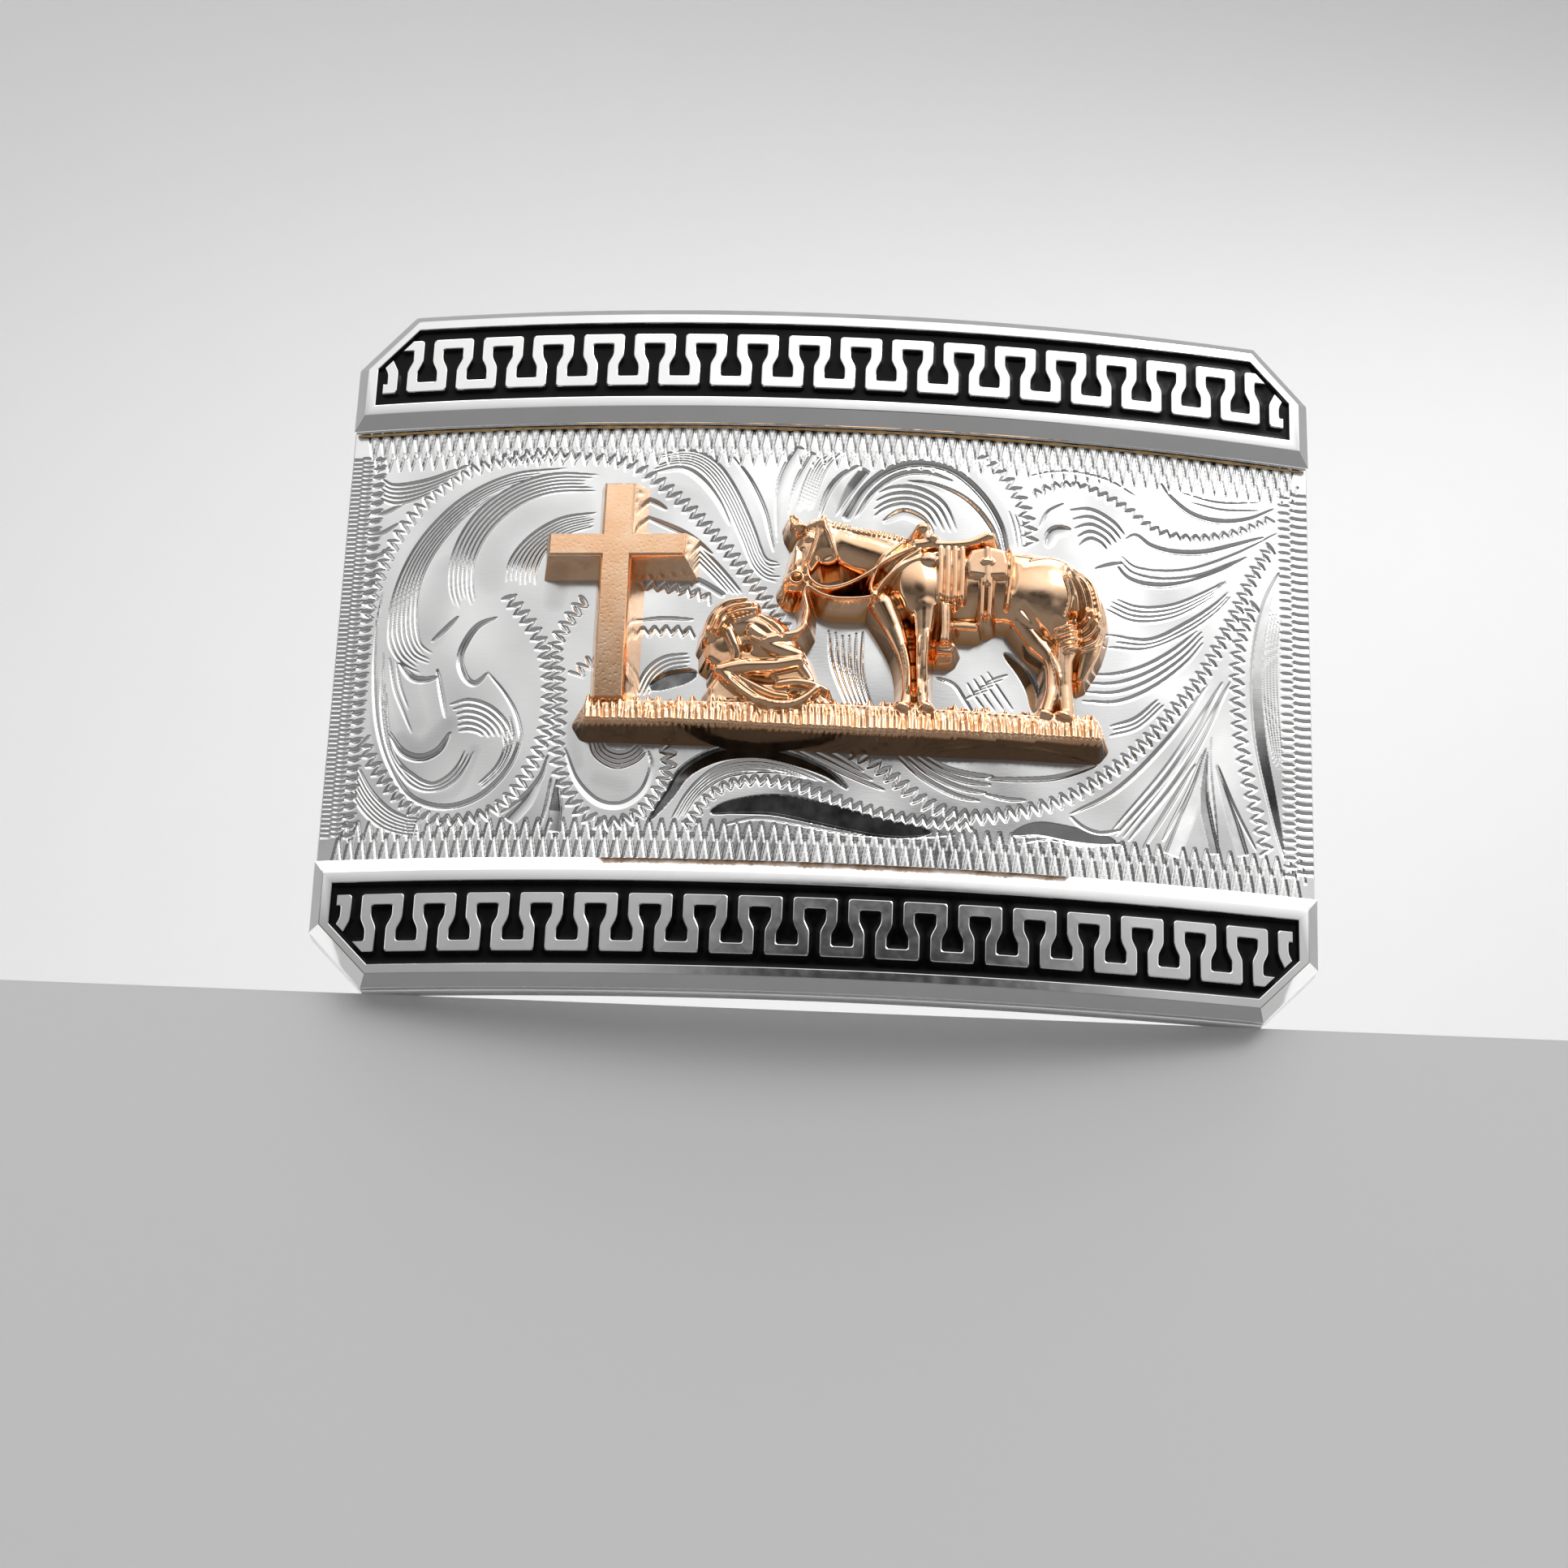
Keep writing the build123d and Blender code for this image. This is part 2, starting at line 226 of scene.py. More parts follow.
class Panel:
    """Depth of metal removed from a flat sheet, on a regular grid."""

    def __init__(self, half_arc, half_height, cell):
        self.cell = cell
        self.arcs = np.arange(-half_arc, half_arc + cell / 2, cell)
        self.heights = np.arange(-half_height, half_height + cell / 2, cell)
        self.depth = np.zeros((len(self.heights), len(self.arcs)), np.float32)
        # tone: painted dark reflection, above zero on leaning facets and below zero in soft patches
        self.tone = np.zeros_like(self.depth)

    def carve(self, line, sides, widths, lean, tone):
        """Removes a V groove of the given half widths, or a facet that leans to one side, and marks it with
        a tone of painted dark reflection.
        """
        reach = int(np.ceil(widths.max() / self.cell)) + 1
        span = np.arange(-reach, reach + 1)
        columns = np.round((line[:, 0] - self.arcs[0]) / self.cell).astype(int)[:, None, None] + span[None,
                                                                                                      None,
                                                                                                      :]
        rows = np.round((line[:, 1] - self.heights[0]) / self.cell).astype(int)[:, None, None] + span[None,
                                                                                                      :,
                                                                                                      None]
        columns, rows = np.broadcast_arrays(columns, rows)
        du = self.arcs[0] + columns * self.cell - line[:, 0, None, None]
        dv = self.heights[0] + rows * self.cell - line[:, 1, None, None]
        wide = widths[:, None, None]
        if lean == 0.0:
            depth = CUT_SLOPE * (wide - np.hypot(du, dv))
        else:
            offset = (du * sides[:, 0, None, None] + dv * sides[:, 1, None, None]) * np.sign(lean)
            forward = np.abs(-du * sides[:, 1, None, None] + dv * sides[:, 0, None, None])
            ramp = abs(lean) * (offset + wide)
            back = 1.2 * (wide - offset)
            on_facet = (np.abs(offset) < wide) & (forward < 1.6 * self.cell)
            depth = np.where(on_facet, np.minimum(ramp, back), 0)
        high, across = self.depth.shape
        inside = (rows >= 0) & (rows < high) & (columns >= 0) & (columns < across) & (depth > 0)
        flat = (rows * across + columns)[inside]
        np.maximum.at(self.depth.reshape(-1), flat, depth[inside].astype(np.float32))
        if tone:
            self.tone.reshape(-1)[flat] = np.maximum(self.tone.reshape(-1)[flat], tone)

    def cut(self, points, width=0.17, shape="both", lean=0.0, tone=0.0):
        """One stroke of the graver along a smooth curve."""
        line, sides = smooth_curve(points)
        self.carve(line, sides, width * swelling(len(line), shape) + 0.02, lean, tone)

    def cloud(self, points, width, tone):
        """A soft patch of painted dark reflection along a curve, stored below zero."""
        line = smooth_curve(points, 0.3)[0]
        rows = slice(*np.searchsorted(self.heights, (line[:, 1].min() - width, line[:, 1].max() + width)))
        columns = slice(*np.searchsorted(self.arcs, (line[:, 0].min() - width, line[:, 0].max() + width)))
        u, v = np.meshgrid(self.arcs[columns], self.heights[rows])
        away = np.min([np.hypot(u - a, v - b) for a, b in line], axis=0)
        patch = self.tone[rows, columns]
        np.minimum(patch, -tone * np.clip(1 - (away / width) ** 2, 0, 1), out=patch, where=patch <= 0)

    def shade(self, first, last, count, width=0.17):
        """Evenly spaced strokes between two guide curves."""
        a = smooth_curve(first)[0]
        b = smooth_curve(last)[0]
        t = np.linspace(0, 1, 60)
        a = np.column_stack([np.interp(t, np.linspace(0, 1, len(a)), a[:, k]) for k in (0, 1)])
        b = np.column_stack([np.interp(t, np.linspace(0, 1, len(b)), b[:, k]) for k in (0, 1)])
        for share in np.linspace(0, 1, count):
            ends = 3 * int(round(2 * abs(np.sin(7.3 * share * count))))
            mixed = (a * (1 - share) + b * share)[ends // 2 : 60 - ends // 3]
            self.cut(mixed[::4], width)

    def wriggle(self, points, pitch=1.02, reach=0.58):
        """A zigzag walked along a curve: one broad leg and one fine leg in each step."""
        line, sides = smooth_curve(points)
        stride = pitch / SAMPLE_STEP
        for i in range(int(len(line) / stride)):
            here = int(i * stride)
            middle = min(int((i + 0.5) * stride), len(line) - 1)
            after = min(int((i + 1) * stride), len(line) - 1)
            low = line[here] - reach * sides[here]
            high = line[middle] + reach * sides[middle]
            next_low = line[after] - reach * sides[after]
            self.cut([low, (low + high) / 2, high], BROAD_LEG)
            self.cut([high, (high + next_low) / 2, next_low], FINE_LEG, "even")


def border(panel):
    """Two rows of nested arches along each bar, and columns of short bars at each side."""
    for sign in (-1, 1):
        for arc in ARCH_PITCH * np.arange(-39, 40):
            for side in (-1, 1):
                panel.cut([(arc + side * 0.54, sign * 21.5), (arc + side * 0.30, sign * 20.1),
                           (arc + side * 0.10, sign * 19.0), (arc, sign * 18.5)], 0.16, "even")
                tip = arc + ARCH_PITCH / 2
                panel.cut([(tip + side * 0.42, sign * 19.3), (tip + side * 0.22, sign * 18.1),
                           (tip, sign * 17.2)], 0.12, "even")
    for row in range(-41, 42):
        height = 0.45 * row
        panel.cut([(-44.8, height + 0.04), (-44.3, height + 0.02), (-43.9, height)], 0.17, "even")
        panel.cut([(-43.75, height + 0.16), (-43.2, height + 0.12), (-42.5, height + 0.2)], 0.16, "end")
        if row % 2:
            panel.cut([(-42.7, height - 0.1), (-42.1, height), (-41.5, height + 0.18)], 0.26)
    for height in 0.8 * np.arange(-23, 24):
        panel.cut([(44.7, height + 0.05), (43.9, height), (43.2, height + 0.05)], 0.2, "even")
        panel.cut([(43.1, height - 0.3), (42.5, height - 0.35), (41.9, height - 0.3)], 0.19)


def left_scroll(panel):
    """The large C scroll, its curled leaf and the corner leaves beside it."""
    panel.shade([(-24.3, 16.8), (-29.5, 16.2), (-34.0, 13.9), (-37.4, 10.2), (-39.3, 6.0), (-39.9, 2.0),
                 (-39.4, -0.8), (-37.3, -2.9), (-34.9, -3.3)],
                [(-29.0, 15.2), (-31.5, 14.0), (-34.4, 11.4), (-36.5, 8.2), (-37.4, 5.2), (-37.4, 2.2),
                 (-37.0, 0.2), (-36.2, -1.0), (-34.9, -1.4)], 7)
    panel.shade([(-21.2, 16.1), (-25.5, 16.2), (-29.5, 14.9), (-32.6, 12.2), (-34.3, 8.6), (-34.4, 5.2),
                 (-33.4, 2.3)], [(-21.4, 14.5), (-25.5, 14.4), (-28.6, 13.2), (-31.0, 10.9), (-32.3, 8.0),
                                 (-32.3, 5.0), (-31.7, 2.9)], 6)
    panel.shade([(-21.2, 12.3), (-24.5, 11.7), (-27.2, 10.0), (-28.9, 7.6), (-29.2, 4.9)],
                [(-21.3, 11.0), (-23.8, 10.2), (-25.6, 8.8), (-26.4, 7.0), (-26.5, 4.9)], 7)
    panel.shade([(-33.6, -6.3), (-31.8, -5.9), (-29.8, -6.6), (-28.2, -8.2), (-27.5, -10.0)],
                [(-32.5, -8.8), (-31.6, -8.7), (-30.8, -8.9), (-30.4, -9.2), (-30.2, -9.4)], 6)
    panel.shade([(-42.2, -14.3), (-40.8, -16.2), (-39.0, -17.7), (-37.0, -18.4), (-35.2, -18.6)],
                [(-41.8, -11.8), (-40.4, -14.2), (-38.6, -16.0), (-36.8, -16.9), (-35.2, -17.1)], 6)
    panel.shade([(-42.0, 16.6), (-40.6, 15.7), (-37.5, 16.0), (-34.5, 17.0), (-32.6, 17.9)],
                [(-42.2, 14.6), (-40.5, 13.9), (-38.6, 14.2), (-37.0, 14.9), (-36.0, 15.6)], 5, 0.2)
    panel.shade([(-40.2, -1.0), (-40.0, -6.0), (-38.9, -10.6), (-36.8, -13.6), (-34.6, -14.4),
                 (-32.6, -13.5), (-31.2, -11.3), (-30.8, -9.6)],
                [(-39.6, -5.0), (-39.3, -8.0), (-38.3, -11.2), (-36.4, -13.0), (-34.6, -13.8),
                 (-33.0, -12.9), (-32.0, -11.3), (-31.7, -9.8)], 3)
    rim = [(-40.8, 5.0), (-41.1, 1.0), (-40.9, -3.5), (-40.2, -8.0), (-38.8, -11.8), (-36.6, -14.9),
           (-33.4, -16.0), (-30.3, -15.1), (-28.0, -12.8), (-26.9, -10.0), (-27.3, -7.6), (-28.5, -5.4),
           (-30.3, -3.2)]
    panel.cut(rim, 0.24)
    panel.shade([(-27.9, -7.6), (-27.5, -10.0), (-28.4, -12.4), (-30.4, -14.6)],
                [(-28.5, -9.0), (-28.2, -10.6), (-28.9, -12.4), (-30.6, -14.1)], 3, 0.13)
    panel.cut([(-29.8, 2.1), (-31.5, 1.3), (-32.6, -0.5), (-32.9, -2.2), (-32.4, -3.6), (-31.6, -4.3),
               (-30.9, -4.0), (-30.3, -3.3)], 0.32)
    panel.cut([(-33.4, 2.3), (-34.6, 1.0), (-35.7, -0.1)], 0.2)
    panel.cut([(-33.3, -8.9), (-34.3, -10.6), (-36.0, -11.3), (-37.8, -10.6), (-39.2, -8.6)], 0.34)
    panel.cut([(-35.0, -2.8), (-34.5, -5.0), (-33.9, -7.5)], 0.2)
    panel.cut([(-38.7, -2.0), (-37.4, -3.5), (-36.2, -3.8), (-34.9, -3.6)], 0.3)
    panel.cut([(-39.6, -1.5), (-38.9, -4.5), (-37.8, -7.0), (-36.9, -8.9)], 0.12)
    panel.cut([(-39.0, -1.5), (-38.4, -4.2), (-37.4, -6.6)], 0.1)
    for offset in (0.0, 2.2, 4.2):
        panel.cut([(-43.0, 8.6 + offset), (-41.4, 8.7 + offset), (-40.3 + offset / 5, 9.6 + offset)], 0.18)
    panel.wriggle([(-42.2, 2.5), (-41.3, 6.5), (-39.6, 10.8), (-36.6, 14.6), (-32.5, 17.1), (-27.0, 18.2),
                   (-21.5, 17.9), (-17.5, 16.6), (-13.5, 13.4), (-10.0, 9.7), (-7.3, 6.3), (-5.0, 3.2),
                   (-3.2, 0.5)])
    panel.wriggle([(-29.0, 4.2), (-26.6, 1.2), (-25.1, -1.6), (-24.5, -5.0), (-24.6, -8.5), (-25.4, -11.6),
                   (-27.4, -15.2), (-30.2, -17.0), (-34.5, -17.2), (-38.0, -14.6), (-40.5, -11.4),
                   (-41.6, -9.0)])


def lower_scrolls(panel):
    """The small scroll under the cross, the leaves round it and the wave along the bottom."""
    panel.wriggle([(-21.8, 3.8), (-23.2, 1.6), (-24.2, -0.8), (-23.9, -3.6), (-23.5, -7.0), (-23.5, -10.6),
                   (-22.7, -13.8), (-20.9, -16.6), (-18.4, -17.7), (-15.7, -16.6), (-13.8, -13.8),
                   (-13.4, -11.4), (-14.2, -9.0)])
    panel.wriggle([(-20.9, -2.2), (-22.4, -3.8)])
    panel.shade([(-20.6, -9.4), (-20.0, -11.2), (-18.2, -12.3), (-16.4, -11.8), (-15.2, -10.6)],
                [(-19.6, -9.6), (-19.0, -10.6), (-18.0, -11.0), (-17.0, -10.8), (-16.2, -10.0)], 4, 0.15)
    panel.cut([(-22.8, -10.6), (-21.6, -13.6), (-19.6, -15.6), (-17.4, -15.9), (-15.6, -14.6),
               (-14.9, -12.4), (-15.2, -10.8)], 0.3, lean=0.25)
    panel.cut([(-24.2, -11.2), (-24.8, -13.4), (-26.4, -15.4), (-28.2, -16.7)], 0.22)
    panel.cut([(-23.8, -13.4), (-24.0, -15.6), (-24.5, -18.0)], 0.16)
    panel.cut([(-24.5, -12.6), (-25.6, -15.2), (-27.2, -17.3)], 0.55, "start", lean=-FACET_SLOPE)
    panel.cut([(-23.3, -13.6), (-23.2, -16.0), (-23.2, -18.2)], 0.6, "start", lean=FACET_SLOPE)
    panel.cut([(-14.8, -17.2), (-13.2, -14.8), (-11.8, -12.6), (-9.0, -11.0), (-5.6, -10.6), (-2.2, -11.3),
               (0.6, -12.4), (2.4, -13.8)], 0.66, lean=FACET_SLOPE, tone=0.9)
    panel.shade([(-12.9, -17.2), (-11.4, -14.4), (-9.0, -12.2), (-5.8, -11.5), (-2.4, -12.1), (1.4, -13.6)],
                [(-12.0, -17.4), (-10.6, -14.8), (-8.6, -13.2), (-6.8, -12.7), (-4.8, -12.5), (-2.6, -12.7)],
                5, 0.14)
    panel.wriggle([(-11.6, -18.0), (-10.2, -15.6), (-8.4, -14.0), (-5.6, -13.3), (-2.6, -13.6), (0.2, -14.5),
                   (3.0, -15.4), (6.4, -16.2), (10.0, -16.6), (13.6, -16.6)], pitch=0.95, reach=0.45)
    panel.cut([(-9.4, -16.4), (-7.6, -15.9), (-4.0, -15.6), (0.0, -16.2), (5.6, -17.3), (9.8, -17.5)], 1.05,
              lean=-0.26, tone=0.9)
    panel.cut([(-8.4, -17.6), (-5.4, -16.9), (-2.0, -17.2), (2.6, -17.9), (8.0, -18.0), (12.0, -17.6)], 0.16)
    panel.shade([(-2.6, -10.2), (0.6, -11.7), (3.6, -13.0), (6.2, -14.0)],
                [(0.2, -10.2), (1.6, -10.9), (3.0, -11.7), (4.0, -12.2)], 3)
    panel.shade([(6.6, -10.3), (9.0, -12.4), (11.8, -13.9), (14.6, -14.4)],
                [(9.0, -10.3), (11.0, -11.4), (13.2, -11.9), (15.8, -12.0)], 4, 0.2)
    panel.cut([(14.6, -12.2), (17.6, -12.1), (21.0, -11.6), (24.6, -10.2)], 0.2)
    panel.cut([(14.6, -13.7), (16.4, -14.0), (18.2, -14.0)], 0.14)
    panel.cut([(17.2, -17.2), (19.4, -16.6), (22.6, -16.9), (26.2, -17.2)], 0.75, lean=-0.26, tone=0.35)
    panel.cut([(17.6, -18.0), (20.4, -17.4), (23.2, -17.7), (27.0, -17.3)], 0.15)
    panel.cut([(22.2, -15.1), (23.4, -16.1), (25.0, -16.5), (27.0, -16.0)], 0.16)


def upper_scrolls(panel):
    """The leaves between cross and horse, and the arched scroll over the horse's back."""
    panel.shade([(-15.9, 18.0), (-13.0, 18.5), (-10.6, 17.4), (-8.7, 14.8), (-7.0, 11.2), (-5.8, 8.2),
                 (-4.7, 7.4), (-3.8, 8.2)], [(-16.2, 16.6), (-14.0, 17.3), (-11.8, 16.6), (-9.8, 14.0),
                                             (-8.0, 10.2), (-6.6, 7.0), (-4.9, 5.7), (-3.6, 6.0)], 6, 0.18)
    panel.cut([(-15.8, 16.4), (-13.6, 16.7), (-11.8, 15.6), (-10.2, 13.6), (-9.0, 11.2)], 0.34,
              lean=FACET_SLOPE)
    panel.cut([(-9.0, 18.0), (-7.3, 15.6), (-5.9, 12.6), (-5.2, 9.8), (-4.9, 8.6)], 0.24)
    panel.cut([(-2.9, 19.0), (-4.1, 16.6), (-4.7, 13.6), (-4.6, 9.6)], 0.42, "end", lean=-FACET_SLOPE)
    panel.cut([(-1.6, 18.4), (-3.0, 15.4), (-3.7, 12.3)], 0.34, "end", lean=-FACET_SLOPE)
    panel.shade([(0.9, 18.8), (-0.6, 16.6), (-1.7, 12.6)], [(-0.9, 18.6), (-2.1, 16.2), (-3.0, 12.4)], 6,
                0.12)
    panel.cut([(2.8, 17.6), (1.0, 16.4), (-0.2, 14.6), (-0.9, 12.2)], 0.26)
    panel.cut([(3.1, 17.0), (1.8, 15.0), (0.6, 12.4)], 0.46, "end", lean=FACET_SLOPE)
    panel.cut([(1.6, 12.3), (3.2, 15.2), (5.4, 17.2), (8.2, 18.0), (11.2, 17.4), (13.8, 15.2), (15.5, 12.4),
               (16.2, 9.5)], 0.34, "even")
    panel.cut([(2.4, 12.3), (4.0, 14.9), (6.2, 16.7), (8.6, 17.1), (11.2, 16.4)], 0.26)
    panel.cut([(7.0, 16.2), (9.5, 15.8), (12.2, 14.4), (14.3, 11.9), (15.2, 9.5)], 0.66, "start",
              lean=FACET_SLOPE, tone=0.45)
    panel.shade([(4.2, 14.8), (6.0, 15.5), (8.2, 15.4), (10.4, 14.0), (11.8, 11.0)],
                [(3.8, 12.2), (5.2, 13.4), (7.0, 13.9), (8.7, 13.2), (10.0, 11.2)], 4, 0.2)
    panel.cut([(5.0, 12.0), (6.8, 12.9), (8.6, 12.1), (9.4, 10.8)], 0.5, lean=FACET_SLOPE)
    panel.wriggle([(13.8, 19.2), (15.6, 17.6), (17.2, 15.4), (18.1, 13.0), (18.5, 10.0)])
    panel.shade([(16.4, 13.8), (16.9, 12.0), (17.2, 9.8)], [(17.4, 13.6), (17.8, 12.0), (18.0, 9.8)], 3, 0.1)
    panel.shade([(-12.0, 9.3), (-9.8, 7.0), (-7.4, 4.2)], [(-12.2, 8.0), (-10.2, 6.0), (-8.6, 4.2)], 4)
    panel.cut([(-17.2, 13.8), (-15.9, 13.3), (-14.8, 12.6)], 0.26)
    panel.cut([(-17.2, 12.1), (-13.0, 10.2), (-10.4, 8.2)], 0.28)
    panel.cut([(-14.4, 6.8), (-11.6, 5.6), (-9.4, 4.3)], 0.28, "start")
    panel.wriggle([(-17.2, 5.3), (-14.6, 5.0), (-11.6, 4.3), (-9.6, 3.4)], reach=0.42)
    panel.wriggle([(-16.8, 0.5), (-14.0, 0.7), (-11.4, 0.5)], reach=0.42)
    panel.cut([(-17.2, 1.6), (-14.6, 1.9), (-11.8, 1.8)], 0.14)
    panel.shade([(-16.8, -5.6), (-15.8, -3.2), (-14.2, -1.9), (-11.8, -1.5)],
                [(-15.6, -5.6), (-14.9, -4.0), (-13.6, -3.0), (-11.8, -2.7)], 4)
    panel.cut([(-15.4, -4.8), (-13.8, -4.0), (-11.4, -3.4)], 0.85, lean=FACET_SLOPE, tone=0.85)


def right_scroll(panel):
    """The scroll behind the horse's rump and the long leaves that sweep from it."""
    panel.wriggle([(18.6, 15.6), (20.5, 16.6), (22.7, 17.0), (25.0, 16.2), (27.5, 14.9), (29.8, 13.3),
                   (32.6, 12.7), (35.6, 13.1), (38.4, 14.1), (41.4, 15.9)], pitch=0.95, reach=0.36)
    panel.shade([(22.0, 14.4), (24.0, 14.6), (26.0, 13.6), (27.3, 12.2)],
                [(22.8, 10.8), (23.8, 11.7), (24.8, 11.5), (25.6, 10.6)], 5, 0.2)
    panel.cut([(19.2, 12.4), (20.0, 14.0), (21.4, 15.0)], 0.16)
    panel.cut([(20.0, 10.6), (20.6, 12.0), (22.0, 12.4)], 0.6, lean=FACET_SLOPE)
    panel.cut([(30.4, 18.2), (31.6, 16.6), (33.6, 15.2), (36.2, 14.8), (39.0, 15.4), (41.5, 16.8)], 0.26)
    panel.cut([(32.4, 17.3), (36.0, 16.7), (40.0, 17.2)], 0.11)
    panel.cut([(33.4, 16.4), (36.5, 16.0), (40.0, 16.4)], 0.11)
    panel.cut([(18.0, 17.4), (20.2, 18.1), (22.4, 18.3), (25.4, 17.8), (28.2, 16.4)], 0.12)
    panel.cut([(27.2, 12.0), (28.2, 12.5), (29.6, 11.6), (31.8, 11.2), (34.6, 11.5), (37.4, 12.5),
               (40.5, 13.8)], 0.28)
    panel.cut([(26.8, 10.3), (28.2, 9.3), (31.0, 9.2), (34.0, 9.9), (38.0, 11.9), (41.8, 14.4)], 0.15)
    panel.cut([(26.7, 9.8), (28.0, 8.7), (30.8, 8.4), (34.2, 9.2), (38.0, 11.2)], 0.14)
    panel.cut([(26.2, 9.6), (27.4, 8.2), (29.6, 7.7), (32.4, 8.2), (36.0, 9.8), (38.8, 11.6)], 0.28)
    panel.cut([(24.4, 8.8), (26.0, 9.4), (26.9, 9.6)], 0.2)
    panel.shade([(25.4, 4.9), (28.0, 4.0), (31.5, 4.7), (35.0, 6.9), (37.2, 9.0)],
                [(25.8, 6.2), (28.4, 5.4), (31.8, 6.0), (35.4, 8.0), (37.0, 9.4)], 4, 0.15)
    panel.shade([(25.6, 1.2), (29.0, 1.4), (32.6, 3.2), (35.6, 5.6), (37.6, 8.0)],
                [(25.6, 2.4), (29.4, 2.3), (32.8, 4.2), (35.6, 6.4), (37.4, 8.4)], 3, 0.2)
    panel.shade([(23.2, -4.2), (26.4, -4.0), (29.6, -2.4), (32.8, 0.4), (34.9, 3.2)],
                [(23.0, -1.6), (26.0, -1.4), (29.0, -0.3), (32.0, 1.8), (34.6, 4.4)], 4, 0.2)
    panel.shade([(25.8, -7.3), (28.4, -6.2), (31.0, -3.6)], [(25.8, -6.4), (28.2, -5.4), (30.4, -3.2)], 3)
    panel.wriggle([(41.2, 13.0), (39.4, 9.8), (37.9, 6.4), (36.2, 2.8), (34.3, -0.8), (31.8, -4.2),
                   (28.9, -7.8), (25.5, -11.0), (21.6, -13.7), (17.4, -15.2), (13.0, -15.9), (9.6, -15.0),
                   (6.6, -12.8), (4.0, -10.9), (1.8, -10.2)])
    panel.wriggle([(39.6, 7.0), (38.2, 4.0), (37.7, 0.8), (37.7, -3.0), (38.0, -7.0), (38.8, -11.2),
                   (39.7, -14.6), (40.4, -17.4)], pitch=1.12)
    panel.cut([(41.9, 10.4), (40.6, 7.0), (39.8, 3.0), (39.5, -1.5), (39.8, -6.5), (40.8, -11.8),
               (41.9, -17.0)], 0.6, lean=-FACET_SLOPE, tone=0.3)
    panel.shade([(41.0, 6.6), (40.3, 2.0), (40.3, -3.0), (41.2, -9.0)],
                [(42.2, 6.6), (41.5, 2.0), (41.5, -3.0), (42.0, -9.5)], 5, 0.1)


def leaf_fan(panel):
    """The fan of leaves that rises from the lower right corner."""
    panel.cut([(34.9, -1.4), (31.4, -6.8), (26.6, -12.2), (22.2, -15.0)], 0.22)
    for lower, upper in (((26.4, -16.6), (36.3, -1.0)), ((27.5, -17.0), (37.1, -0.8))):
        middle = ((lower[0] + upper[0]) / 2 + 0.5, (lower[1] + upper[1]) / 2 - 0.7)
        panel.cut([lower, middle, upper], 0.22)
        panel.cut([(lower[0] - 0.55, lower[1] + 0.2), (middle[0] - 0.5, middle[1] + 0.3), upper], 0.13)
    panel.cut([(33.7, -9.2), (31.4, -13.2), (28.8, -17.7)], 0.2)
    panel.cut([(34.4, -8.2), (33.0, -12.0), (30.6, -16.8)], 0.2)
    panel.cut([(34.7, -7.6), (33.6, -12.0), (31.5, -17.8)], 0.75, "start", lean=-FACET_SLOPE, tone=0.3)
    panel.cut([(34.8, -8.0), (34.5, -12.6), (35.4, -17.3)], 0.45, "start", lean=FACET_SLOPE, tone=0.6)
    panel.cut([(35.6, -9.2), (36.8, -13.2), (38.0, -17.2)], 0.5, "start", lean=FACET_SLOPE, tone=0.4)
    panel.cut([(35.7, -9.0), (37.2, -12.8), (39.3, -16.8)], 0.14)
    panel.cut([(35.2, -6.4), (35.1, -10.0), (35.7, -16.6)], 0.12)


def ground_cuts(panel):
    """Cuts seen between the legs of the castings."""
    panel.shade([(0.3, 1.2), (0.7, -2.0), (1.8, -5.0), (3.0, -7.4)],
                [(3.4, 1.2), (3.4, -2.6), (4.0, -5.2), (5.0, -7.4)], 6)
    for i in range(4):
        slant, rise = 0.6 * i, 0.55 * i
        panel.cut([(12.6 + slant, -4.9 + rise), (13.6 + slant, -4.3 + rise),
                   (15.0 + 0.5 * i, -3.7 + 0.5 * i)], 0.1)
        panel.cut([(12.8 + slant, -3.2 + 0.4 * i), (13.6 + 0.7 * i, -4.6 + 0.3 * i),
                   (14.6 + 0.8 * i, -5.9 + 0.1 * i)], 0.1)
    panel.cut([(10.0, -2.9), (11.6, -3.5), (12.6, -4.9), (14.0, -7.2)], 0.16)
    panel.cut([(16.2, -0.2), (17.7, -1.7), (18.7, -3.6), (18.9, -5.6)], 0.6, lean=FACET_SLOPE, tone=0.7)


